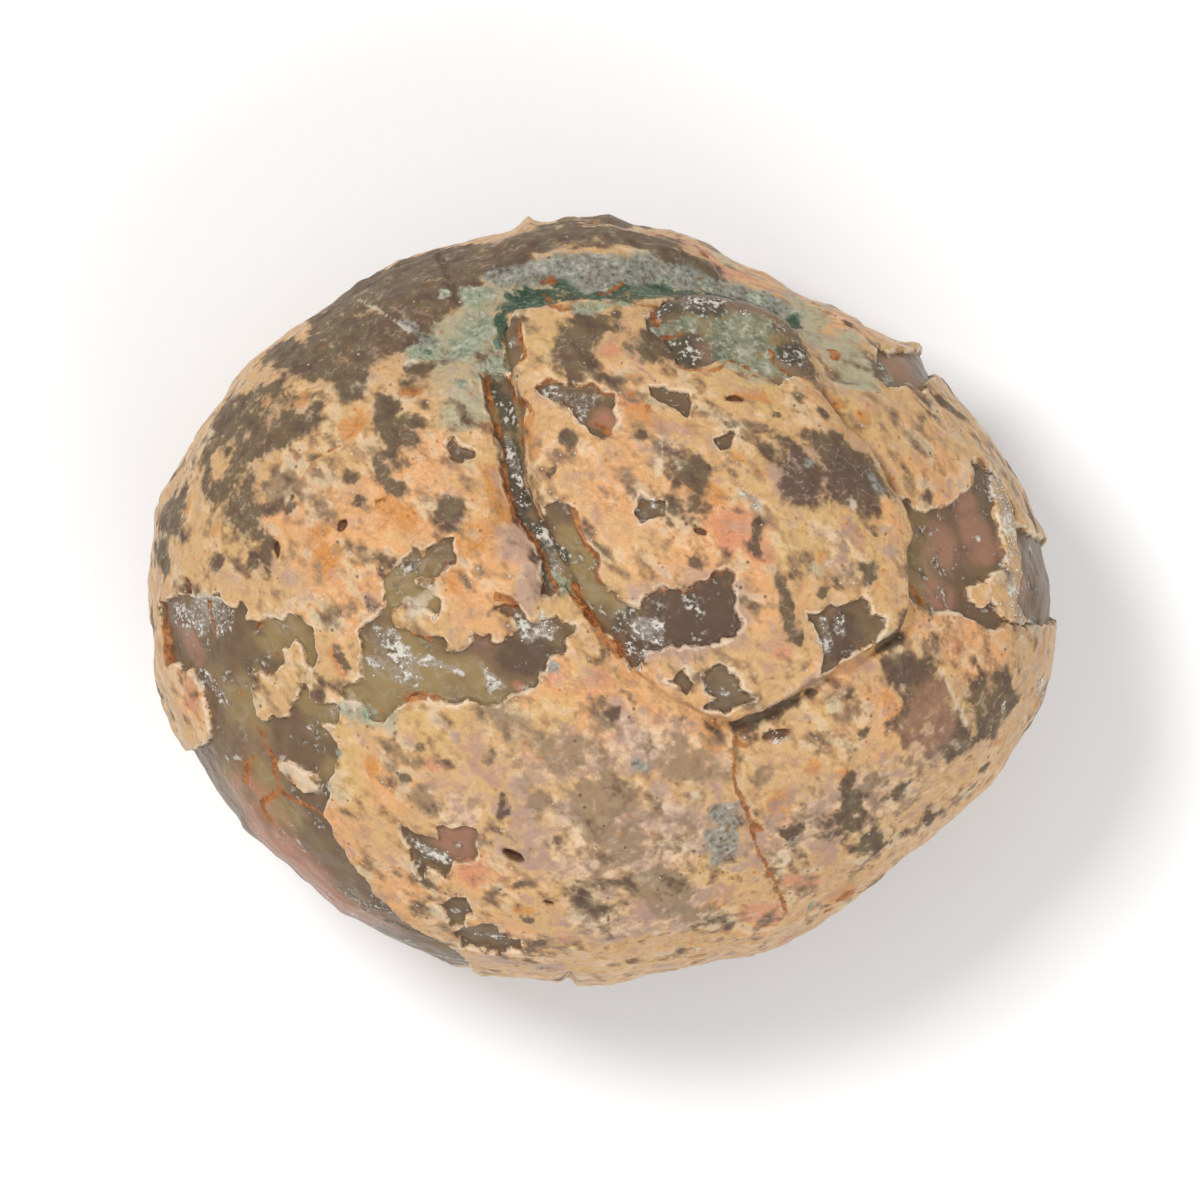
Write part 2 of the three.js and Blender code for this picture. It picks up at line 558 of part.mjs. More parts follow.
function solidFrom(vertProperties, triVerts) {
  return new wasm.Manifold(new wasm.Mesh({ numProp: 3, vertProperties, triVerts }));
}

function geometryOf(solid) {
  const mesh = solid.getMesh();
  return new THREE.BufferGeometry()
    .setAttribute("position", new THREE.BufferAttribute(mesh.vertProperties, 3))
    .setIndex(new THREE.BufferAttribute(mesh.triVerts, 1));
}

function solidOf(geometry) {
  const bare = geometry.clone();
  bare.deleteAttribute("normal");
  bare.deleteAttribute("uv");
  const merged = mergeVertices(bare, WELD);
  return solidFrom(merged.attributes.position.array, new Uint32Array(merged.index.array));
}

function makeStone() {
  const { surface, triangles } = makeStoneMesh();
  const round = solidFrom(
    new Float32Array(surface.flatMap(({ point }) => point.toArray())),
    new Uint32Array(triangles.flat()),
  );
  const [width, height] = [200, 100];
  const room = new THREE.BoxGeometry(width, width, height).translate(0, 0, height / 2);
  const geometry = geometryOf(round.intersect(solidOf(room)));
  geometry.computeBoundingBox();
  const middle = geometry.boundingBox.getCenter(new THREE.Vector3());
  geometry.translate(-middle.x, -middle.y, 0);
  geometry.computeVertexNormals();
  return geometry;
}

const skin = new THREE.MeshStandardMaterial({ color: 0xd3a678, roughness: 0.42, metalness: 0 });

const stone = new THREE.Mesh(makeStone(), skin);
stone.name = "agate_nodule";

const nodule = new THREE.Group();
nodule.add(stone);

export default nodule;
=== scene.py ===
"""An agate nodule: one rounded stone that lies on a small flat spot, seen from straight above.

A porcelain-like skin, peach, cream and grey, covers glassy brown agate. It has chipped away in windows
with ragged edges. A raised lobe stands on the upper side behind a groove, copper green stains the far
side, and rust follows the cracks. Outlines and marks are in millimetres, as seen from above, +Y up.
"""

import math

import bpy
import numpy as np
from bpy.props import FloatProperty, FloatVectorProperty, IntProperty, PointerProperty
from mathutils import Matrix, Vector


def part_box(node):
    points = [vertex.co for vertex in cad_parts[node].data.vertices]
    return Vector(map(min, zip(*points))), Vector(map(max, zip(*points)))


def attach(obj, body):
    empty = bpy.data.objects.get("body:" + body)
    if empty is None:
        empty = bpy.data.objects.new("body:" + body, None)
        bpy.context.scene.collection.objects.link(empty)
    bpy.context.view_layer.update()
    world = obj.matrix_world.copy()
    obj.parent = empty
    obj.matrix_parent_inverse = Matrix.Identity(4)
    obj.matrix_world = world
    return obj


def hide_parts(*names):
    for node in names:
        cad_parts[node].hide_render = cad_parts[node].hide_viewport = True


bl_info = {
    "name": "Agate nodule",
    "version": (1, 0, 0),
    "blender": (4, 5, 0),
    "location": "View3D > Sidebar > Agate",
    "description": "Builds a chipped agate nodule, its crystal grains and a pale stage on a packed frame",
    "category": "Object",
}

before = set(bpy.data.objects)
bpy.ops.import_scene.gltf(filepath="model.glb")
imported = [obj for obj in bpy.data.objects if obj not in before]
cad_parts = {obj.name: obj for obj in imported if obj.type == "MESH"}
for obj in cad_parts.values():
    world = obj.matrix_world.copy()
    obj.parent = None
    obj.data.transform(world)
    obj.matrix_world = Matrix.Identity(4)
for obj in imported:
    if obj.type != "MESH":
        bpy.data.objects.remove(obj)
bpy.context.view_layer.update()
NODE = "agate_nodule"
STONE_PIECE = "nodule"
MM = 0.001

# ---- Form: what the outlines don't say. Lengths in millimetres, angles in radians unless it says so ----

CROWN_POWER = 2.35  # superellipse power of the upper side, 2 is an ellipsoid
UNDERSIDE_POWER = 2.2
SUNK = 1.0  # how far the round underside is cut off flat
RIM_BAND = 15.0  # degrees above and below the rim over which its small bumps fade
RIM_STEPS = 720  # bearings that the rim's radius is worked out at
RIM_SMOOTHED = 30  # steps to each side that the smoothed rim takes in
LOBE_SHOULDER = 7.0  # width over which the lobe's edge rounds over
LOBE_WALL = 0.8  # width of the steep part of that edge
CHIP_WALL, HIDDEN_CHIP_WALL = 0.45, 0.6  # width of a window's edge, above and on the hidden side
NORMAL_STEP = 0.03  # angle between the points that give the surface's direction
MAP_SCALE = 56.0  # one millimetre on the map is about one on the stone
MAP_END = 2.3  # angle down from the crown where the map of the outlines ends
CROWN_SPREAD = 0.03  # what stands nearer to the eye looks spread out by this share, and is drawn so
LOBE_SPREAD = 0.035  # the same for what lies on the raised lobe
UNDERSIDE_FROM, UNDERSIDE_FADE = 1.75, 0.35  # where the hidden side's relief takes over
UNDERSIDE_WAVER, UNDERSIDE_WAVER_SIZE = 0.4, 12.0
MARKS_END, MARKS_FADE = 1.62, 0.3  # where the hidden side's marks take over
SIDE_FROM, SIDE_FADE = 1.38, 0.25  # where the windows' edges start to waver more, on the side
SIDE_WAVER, SIDE_WAVER_SIZE = 6.0, 8.0

# Height and size of the bumps that cover the stone
SWELL, SWELL_SIZE = 0.95, 16.0
RIPPLE, RIPPLE_SIZE = 0.32, 5.0
LUMP, LUMP_SIZE = 0.25, 2.3
WRINKLE, WRINKLE_SIZE = 0.16, 4.4
WRINKLE_WIDTH = 0.12  # share of the noise's height that a wrinkle takes up
GLASS_LUMPS = 0.45  # how lumpy bared agate is beside the skin

# How far edges stray from their outlines, and the size of what makes them ragged
RAGGED, RAGGED_SIZE = 0.45, 1.9
FRAYED, FRAYED_SIZE = 0.32, 0.85
LOBE_RAGGED, LINE_RAGGED = 0.4, 0.5  # share of that for the lobe, and for sunk lines and pits

CHIPPED_ABOVE, CHIP_SCALE = 0.21, 21.0  # the hidden side: noise level and size of its chips
CHIP_SLOPE = 0.6  # how fast the skin's cover falls towards such a chip
CHIP_FRAYED, CHIP_FRAYED_SIZE = 0.35, 2.0
PIT_FLOOR, PIT_WALL = 0.65, 0.5  # share of a pit's half size that its floor and its wall take up

# How far the edges of marks wander, and where they fade
WANDER_SIZE, FINE_WANDER_SIZE, FINE_WANDER = 4.0, 1.7, 0.8
STROKE_WANDER, STROKE_WANDER_SHARE, PATCH_WANDER = 1.1, 0.75, 1.3
STROKE_FULL, STROKE_FADE = 0.35, 1.1  # in half widths of the stroke
EDGE_FULL, EDGE_FADE = 0.6, 0.6  # the same for rusty edges
PATCH_EDGE, PATCH_FADE = 0.62, 3.4  # strength at a patch's outline, and the width it fades over
RARE_GAIN, RARE_CUT = 1.7, 0.7  # narrows a rare kind to the middle of its strokes
KINDS_APART = 29.0  # how far apart two kinds read their noise
HIDDEN_GAIN, HIDDEN_SIZE, HIDDEN_LEVEL = 1.6, 11.0, 0.2  # the hidden side's patches of a kind
HIDDEN_RUST_SIZE = 8.0
BROAD, BROAD_SIZE = 0.3, 6.5  # how uneven a kind's strength is, coarsely and finely
FINE, FINE_SIZE = 0.22, 2.5
FROST_FROM = 5.0  # height below which there is no frost

# The mesh
LINE_DETAIL = 0.2  # within a sunk line, detail counts as this share of its half width away
PIT_TRACE = 0.02  # depth from which a pit counts as detail
ROUNDS = 11  # of splitting sides; by the last one few are too long
HIDDEN_BELOW, HIDDEN_COARSER = 0.55, 2.2  # below this share of the widest height, sides are longer

# ---- Outlines, as x, y, x, y... seen from above ----
# A point outside RIM lies on the underside, as far in from the rim as it is drawn out from it.

RIM = (
    57.7, 0, 57.3, 3.1, 56, 8.3, 53.7, 12.6, 51, 17.7, 49.5, 20.5, 47.1, 23.3, 45.1, 25.4, 43.4, 28,
    42.3, 28.9, 41.6, 30.9, 40.1, 32.6, 37.4, 32.8, 33.7, 34.2, 32.5, 35.2, 29.1, 36.9, 24.9, 38,
    20.5, 40.7, 16.5, 42.5, 13.5, 44.5, 9.5, 46.2, 4.5, 47.3, 2.2, 48.4, 1, 48.8, -1.5, 48.4, -4, 48.6,
    -6.6, 47.9, -8.3, 47.9, -8.8, 48.5, -10.4, 47.3, -12.1, 46.2, -17.1, 45.1, -21.8, 43.8, -24.9, 42.7,
    -29.8, 39.8, -33, 37, -37.2, 34.3, -41.2, 31.7, -43.6, 30.2, -45.2, 28.7, -48.5, 23.7, -50.6, 21.3,
    -53.2, 16.6, -55.1, 13.1, -55.9, 11, -55.9, 8, -56.7, 3.2, -56.7, 1, -56.5, -2.5, -56.4, -5, -56, -9.8,
    -54.9, -13.4, -53.6, -16.5, -51.2, -20.7, -48.8, -24.4, -46.1, -27.9, -45.6, -28.9, -41.3, -32.7,
    -39.5, -34, -35.8, -37.8, -33.2, -40.3, -30.8, -41.2, -25.8, -43.9, -20, -46.1, -15.1, -47,
    -10.6, -47.7, -5.1, -48.4, -3.9, -48, -3.1, -48.7, 1.5, -48.7, 6.5, -47, 10.5, -46.2, 15, -44.9,
    19, -44.7, 23.1, -43.3, 25.6, -41.8, 30, -38.7, 34, -35.3, 37.5, -31.8, 40.3, -30.1, 45.4, -26.2,
    49.5, -22.9, 53.6, -16.7, 56, -11.6, 57.1, -6, 57.4, -3,
)

# The raised lobe's foot, with the stained part behind it
LOBE = (
    -12, 33.5, -11.5, 30, -10.5, 27, -9.6, 22, -9.4, 16, -8.2, 12.5, -5.8, 7.5, -3, 1.5, 0, -3.2, 1.6, -4.9,
    4.5, -8.9, 9, -12.2, 14, -14.6, 16.5, -15, 20.5, -13.8, 25, -11.5, 26.5, -10, 31.5, -7.4, 35.7, -5,
    37.6, -4.3, 39, -1.6, 39.2, 1.2, 38.9, 5.8, 39.6, 8, 38.6, 11.2, 37.2, 13.5, 36.6, 15.4, 34.1, 18.9,
    31.2, 22.3, 28, 25.6, 27, 28.5, 25.5, 32.5, 23, 35.4, 18.5, 37, 14, 38.8, 11, 38.9, 7.8, 37.5,
    5.4, 35.6, 3, 37.7, 0, 38.5, -3, 38.2, -7.5, 36.8, -10.5, 35.6,
)

# Windows where the skin has chipped off and the agate shows
WINDOWS = {
    "left_bank": (
        -55.3, -0.6, -53.5, 0.3, -52.3, 0.9, -51, 0.5, -50, 0.2, -48.6, 0.3, -47.4, 0.5, -46.8, -0.3,
        -45.9, -0.8, -44.8, -0.3, -44, -1.2, -44.4, -2.7, -43.2, -2.6, -42, -1.9, -40.8, -2.3, -39.8, -2.1,
        -39, -1.6, -38, -2.5, -36.6, -3.6, -35.9, -4.6, -35.8, -6.5, -36, -7.6, -36.1, -8.6, -36.6, -9.1,
        -37.4, -8, -37.7, -6, -38.3, -5, -39.6, -5.7, -40.3, -6.3, -40.2, -7.6, -41.2, -8.7, -42.5, -9.3,
        -44.2, -9, -44.3, -10, -44.7, -11.2, -44.6, -13.2, -43.7, -15.2, -42.8, -15.7, -41.6, -14.9,
        -39.8, -14.9, -39, -13.6, -38.6, -12, -37.7, -11, -36.9, -11.5, -36, -12.9, -34.4, -13,
        -33.5, -12.5, -32.8, -13.2, -32.8, -14.8, -33.6, -15.7, -35, -15.6, -34.2, -16.8, -33.2, -18,
        -33.2, -20, -33.9, -22, -34, -24.2, -34.5, -26.5, -33.7, -28.2, -32.8, -29.8, -31.6, -32,
        -30.8, -34, -29.8, -35.4, -28, -37.4, -26.3, -38.4, -25, -40.1, -22.5, -41.8, -20.5, -43,
        -18.5, -44.4, -16.5, -45.8, -15.5, -50, -14.5, -52, -22, -60, -40, -56, -58, -42, -66, -24,
        -57, -21.5, -51.6, -18.9, -50.3, -18.5, -49.6, -17.3, -50, -15.4, -50.4, -13, -51, -10.7, -52.1, -9,
        -53.2, -8, -54.4, -7.8, -54.6, -4,
    ),
    "middle_hollow": (
        -27.3, 2.8, -26.2, 3.6, -25.3, 4.9, -24.3, 5.5, -23.6, 6.2, -23.5, 7, -22.8, 6.6, -22.4, 5.6,
        -21.6, 6.4, -20.3, 7.1, -18.6, 7.4, -18.1, 5.8, -18.3, 4.3, -19.5, 4.2, -20, 2.9, -20.8, 2.4,
        -21.8, 3.2, -23.2, 3, -22.9, 1.8, -21.5, 1.1, -20.6, 0.7, -20, 0.1, -20, -1.2, -20.7, -2.1,
        -21.3, -1.2, -23.5, -1, -24, 0, -25.4, -0.9, -26.3, -1.6, -26.2, -2.8, -25.4, -3.7, -24, -3.5,
        -23.2, -4.4, -21.6, -4.9, -20.2, -4.4, -19.6, -5.3, -19.7, -6.5, -18, -6.3, -16.7, -5.7,
        -16.2, -4.6, -15.9, -4.1, -14.2, -4.7, -12.8, -5.4, -11.2, -5, -10.5, -4, -10.6, -2.5, -12.6, -1.6,
        -13.3, -0.8, -12, -0.4, -10.6, -0.6, -9.7, -1.9, -8.2, -2.6, -6, -2.2, -4.6, -3.1, -3, -2.8,
        -3.2, -3.9, -4.3, -4.8, -4.4, -7, -6.3, -7.5, -7.4, -9.5, -8.1, -11.4, -10, -11.8, -12, -12.1,
        -13.5, -13.3, -16.4, -12.7, -18.3, -13.5, -20, -12.8, -22.6, -11.5, -25, -13.2, -26.4, -14,
        -27.2, -15.3, -28.8, -14.8, -29.1, -13.4, -30.5, -12.4, -32.3, -12, -32.5, -11, -31.2, -10.8,
        -30, -9.9, -30.1, -7, -30.1, -4.9, -30.5, -4.1, -29.7, -2.8, -28, -1.7, -27, -0.7, -26.8, 0.8,
    ),
    "right_window": (
        37.4, 14, 38.3, 13.3, 39.3, 12.7, 40.2, 11.5, 41.5, 11.2, 42.7, 11.8, 44.5, 12.3, 45.6, 13.3,
        46.9, 14.4, 47.2, 15.6, 46.7, 17, 46.8, 18, 48.2, 17.2, 49.5, 16.3, 50.3, 15, 51.3, 13.2, 52, 11.3,
        52.6, 10, 53.6, 9.4, 54.4, 8.9, 55.2, 8.4, 60, 8, 62, 2, 60, -4, 56.5, -3.2, 55, -3, 53.8, -3.4,
        52.7, -3.2, 51.4, -2.6, 50.2, -4, 49, -3.5, 48, -2.7, 46.2, -2, 44.6, -1.5, 42.8, -1.5, 41.3, -1.1,
        40.4, -0.6, 39.6, 0.5, 39.1, 2.5, 39, 5, 39, 6.3, 39.8, 7.6, 39.6, 9, 38.8, 11, 37.9, 12.8,
    ),
    "lobe_wall": (
        -6.6, 12.6, -5, 12.3, -3.9, 12, -3.2, 11.2, -2.9, 9.7, -2.6, 8.3, -2, 7, -1, 6, 0, 5.9, 0.1, 5,
        -0.3, 4, 0.3, 2.6, 1.2, 1.2, 2, 0.1, 3.3, -0.6, 4.6, -0.9, 5.4, -0.6, 5.6, 0.3, 6.6, 0.9, 7.8, 1.5,
        9.2, 1.3, 10.3, 1, 11.2, 1.2, 12.3, 2, 14, 2.7, 15.2, 3.6, 16.2, 3.9, 17, 3.2, 17.1, 1.2, 17.1, -1,
        17.5, -2, 18.3, -2.8, 17.6, -3.9, 16.6, -5, 15, -5.8, 12.5, -5.8, 10.8, -6, 9.2, -5.6, 7.9, -6.2,
        6.2, -6.3, 5.7, -7.5, 5.2, -8.8, 3.8, -8, 2.6, -6.2, 1.2, -4.8, 0, -3.6, -1.5, -1.5, -2.5, 0.5,
        -3.5, 2.5, -5, 5, -6.2, 7.5, -7.3, 9.8,
    ),
    "groove": (
        -15.2, 29, -14.9, 27, -14.4, 24.5, -13.3, 21.5, -12.6, 19, -12.3, 16.5, -12, 14.5, -10.8, 11.8,
        -9.8, 9.8, -8.7, 8, -7.6, 6.2, -7.3, 4.5, -7.1, 2, -7.5, 0.6, -6.2, 0.7, -5, 1.6, -3.8, 1,
        -2.7, -0.6, -1.6, -2.5, -0.2, -4, 1.5, -5.3, 3, -7.2, 4.2, -9, 5.2, -8.8, 3.6, -7.4, 1.8, -5,
        0, -3.2, -1.4, -1, -3, 2, -4.6, 5, -5.8, 7.5, -6.9, 9.8, -7.8, 11.2, -8.7, 13, -9.3, 15, -9.8, 18,
        -9.9, 21, -9.3, 24, -10.5, 26, -11.5, 27.3, -12, 29,
    ),
    "lobe_tip": (
        26.2, -1.5, 28, -1.8, 29, -0.9, 31, -0.8, 33, 0.2, 34, -0.5, 34.5, -2, 36.3, -2.5, 36, -3.8, 35, -5,
        32.5, -6.5, 30.5, -7.5, 29.5, -8.5, 27.5, -9.2, 28.3, -7.5, 28.3, -5, 27.2, -3,
    ),
    "stained_lobe": (
        26, 27.1, 24, 27.3, 22.3, 26, 20, 27.8, 18, 28.7, 15.5, 29.5, 13, 28.6, 11, 28.5, 9.7, 29.4,
        8.9, 31, 8, 32.5, 6.2, 33.6, 5.5, 35, 7, 37, 9, 38.6, 11, 39.1, 14, 39, 17, 37.9, 20.5, 36.5,
        23.2, 35.5, 24.8, 34.3, 26.5, 31, 27.3, 28.5,
    ),
    "top_chip": (
        -8, 26, -6.5, 27.5, -5, 27.7, -3, 27, -1, 27.3, 0.5, 26.2, 2, 25.7, 1.5, 24, 2, 22, 0.5, 20.3,
        -1.5, 21.2, -3.5, 24,
    ),
    "lobe_chip": (6, 27, 8, 27, 8.5, 26, 11, 25.5, 11.2, 23.5, 10.8, 22.3, 9, 23.8, 7.5, 24.8, 6.3, 25.4),
    "star_chip": (4.2, 11, 5.3, 13.3, 6, 12.3, 8, 12, 8.2, 10.5, 6.5, 10, 5, 9.6),
    "ragged_chip": (
        13, -9.5, 15, -8, 16.5, -8.6, 17.5, -9.6, 18.3, -11, 19.5, -12.5, 17, -13, 16, -14.2, 14, -13.8,
        13.3, -13, 14.5, -12, 13, -11.2,
    ),
    "thorn_chip": (9, -9.8, 10.5, -8.3, 11.5, -10, 11.3, -11.8, 9.8, -10.5, 8, -9.9),
    "slot_chip": (14.3, 19.5, 16, 20.3, 17.3, 20.8, 16, 18.6, 15.3, 18.1),
    "lower_left_chip": (
        -25.2, -29.2, -25, -28, -24, -28.7, -22, -29.3, -20.2, -29.8, -20.3, -28.3, -19.5, -28,
        -18.3, -28.3, -16.9, -27.8, -15.6, -28.2, -15.6, -29.5, -15.2, -31.5, -15.6, -32.7, -17, -32.2,
        -18.3, -32.5, -18.8, -33.8, -19.5, -34.6, -20.5, -33.8, -22, -33.4, -22.3, -34.8, -22.8, -34.8,
        -23.5, -33.3, -24, -31.5, -25, -30.3,
    ),
    "lower_middle_chip": (
        -20.8, -37.7, -19.5, -38, -18.3, -37.2, -16.8, -36.9, -16.3, -37.8, -16, -38.8, -15.3, -39.7,
        -17, -39.5, -17, -41.2, -18.5, -41.2, -18.9, -40.3, -19.7, -39, -20.8, -38.2,
    ),
    "lower_edge_chip": (
        -14.7, -40.3, -13, -40.5, -12.8, -41.5, -11, -42.3, -9.8, -42, -9.9, -43.8, -11.5, -43.8,
        -13, -44.5, -15, -44, -17.2, -44, -18, -43, -18.5, -41.8,
    ),
    "pocket": (
        -19, 19.4, -18.2, 20, -17.2, 19.4, -16.4, 19.1, -15.5, 18.2, -15.6, 17.5, -16.6, 17.2, -17.2, 16.9,
        -18.5, 17.4, -18.6, 18.4,
    ),
    "top_right_knob": (
        35.2, 32.2, 36.5, 31.7, 38, 32.1, 39.7, 32, 44, 32.5, 44, 29.5, 41.3, 27.6, 41, 26.2, 40.3, 26.7,
        39.3, 27.8, 38, 27.4, 37, 27.8, 36, 29.2, 35.2, 30.7,
    ),
    "lobe_back": (-12, 34.5, -10.3, 34.8, -9.3, 32.5, -9.6, 30, -11.3, 28.9, -12.3, 30.5),
}

# Flakes of skin left standing inside a window
FLAKES = {
    "pebble": (
        -40.9, -20.3, -40, -20.3, -37.5, -21.6, -35.8, -22.3, -35.3, -23.2, -35.6, -24, -37, -24.6,
        -38, -24, -39.8, -22.3, -41, -20.8,
    ),
    "ribbon": (
        49, 16.2, 50.2, 15, 51, 13.5, 51.9, 11, 52.8, 9.5, 52.9, 7.5, 53.4, 5.8, 53.7, 2.8, 53.3, 0,
        53.8, -2, 55.2, -2.2, 54, -3.2, 52.5, -3, 51.3, -1.8, 50.3, 0, 49.8, 2.2, 50.2, 3.6, 51.5, 4.2,
        51.7, 5.2, 51.3, 7.5, 50.5, 9.8, 49.8, 12, 49.5, 14,
    ),
    "islet": (47.5, 0.3, 47.8, 1.8, 48.8, 2.4, 50, 2.2, 50.2, 0.6, 50, -0.7, 49.2, -1.1, 48.2, -0.7),
}

# Sunk lines: half width and depth, then the route
SUNK_LINES = {
    "groove": (
        2.2, 1.7, -13.2, 31, -12.6, 24, -11.4, 18, -10, 12.5, -7, 7, -4.5, 2.5, -1.4, -2.4, 3.6, -8.6,
    ),
    "saddle": (4.5, 1.7, -20, 32, -14, 37, -7, 40.5, 3, 41, 12, 41, 20, 38.5, 27, 34.5, 30, 29),
    "lobe_foot": (1.3, 1.1, 37, 14.6, 34.6, 18.9, 31.6, 22.4, 28.4, 25.8),
    "lobe_fold": (0.7, 0.9, 14, -15.3, 18, -15.6, 22, -14.2, 27, -11, 33, -7.8, 38, -4.4),
    "rusty_crack": (0.6, 0.4, 17.2, -15.5, 18.2, -23, 19.5, -28.5, 21.3, -34, 23.8, -40.2),
    "thin_crack": (0.35, 0.3, 23.5, -15, 27.3, -14.6),
    "top_crack": (0.45, 0.6, -20.3, 43.5, -19.2, 41.2, -17.8, 37.2),
    "bottom_notch": (0.7, 0.9, -3.7, -46.7, -3.8, -47.4, -3.9, -48.2),
}

# Pits: (x, y, half length, half width, turn in degrees, depth)
PITS = [
    (-10.6, -31.3, 1.7, 0.9, -42, 1.9),
    (-6.4, -37.2, 0.9, 0.55, -60, 1.0),
    (-32.1, 9.2, 0.9, 0.65, 30, 1.0),
    (-40.3, 6.3, 0.5, 1.2, 15, 0.9),
    (-38.1, 12.6, 0.35, 0.5, 0, 0.6),
    (-51.5, 1.8, 1.5, 1.0, -40, 1.0),
    (12.3, -44.3, 1.9, 1.2, 0, 1.7),
    (22, -16.6, 2.0, 0.9, 10, 0.9),
    (16.5, 24.3, 1.4, 0.6, -15, 0.9),
    (13, 8.5, 0.75, 0.55, -40, 0.8),
    (-35.2, 17.4, 1.3, 0.5, 20, 0.5),
    (39.8, -21.5, 0.6, 0.6, 0, 0.4),
    (40, -24, 0.5, 0.5, 0, 0.4),
]

# Broad swells and hollows: (x, y, radius, height)
SWELLS = [
    (-32, 14, 20, 1.7), (-3, -29, 18, 1.5), (38, -17, 14, 1.1), (-22, 38, 9, 0.9), (18, 12, 20, 1.4),
    (-43, -16, 12, -0.9), (45, 6, 9, -0.9), (-13, -8, 8, -0.9), (13, 46, 9, 0.5),
]
UNDERSIDE_SWELLS = [(24, 16, 16, 1.3), (-26, -12, 18, 1.5), (10, -30, 12, -1.4), (-20, 26, 11, -1.2)]

# ---- Marks: what is only colour ----
# A stroke is (half width, x, y, x, y, ...), and a spot is a stroke of one place.

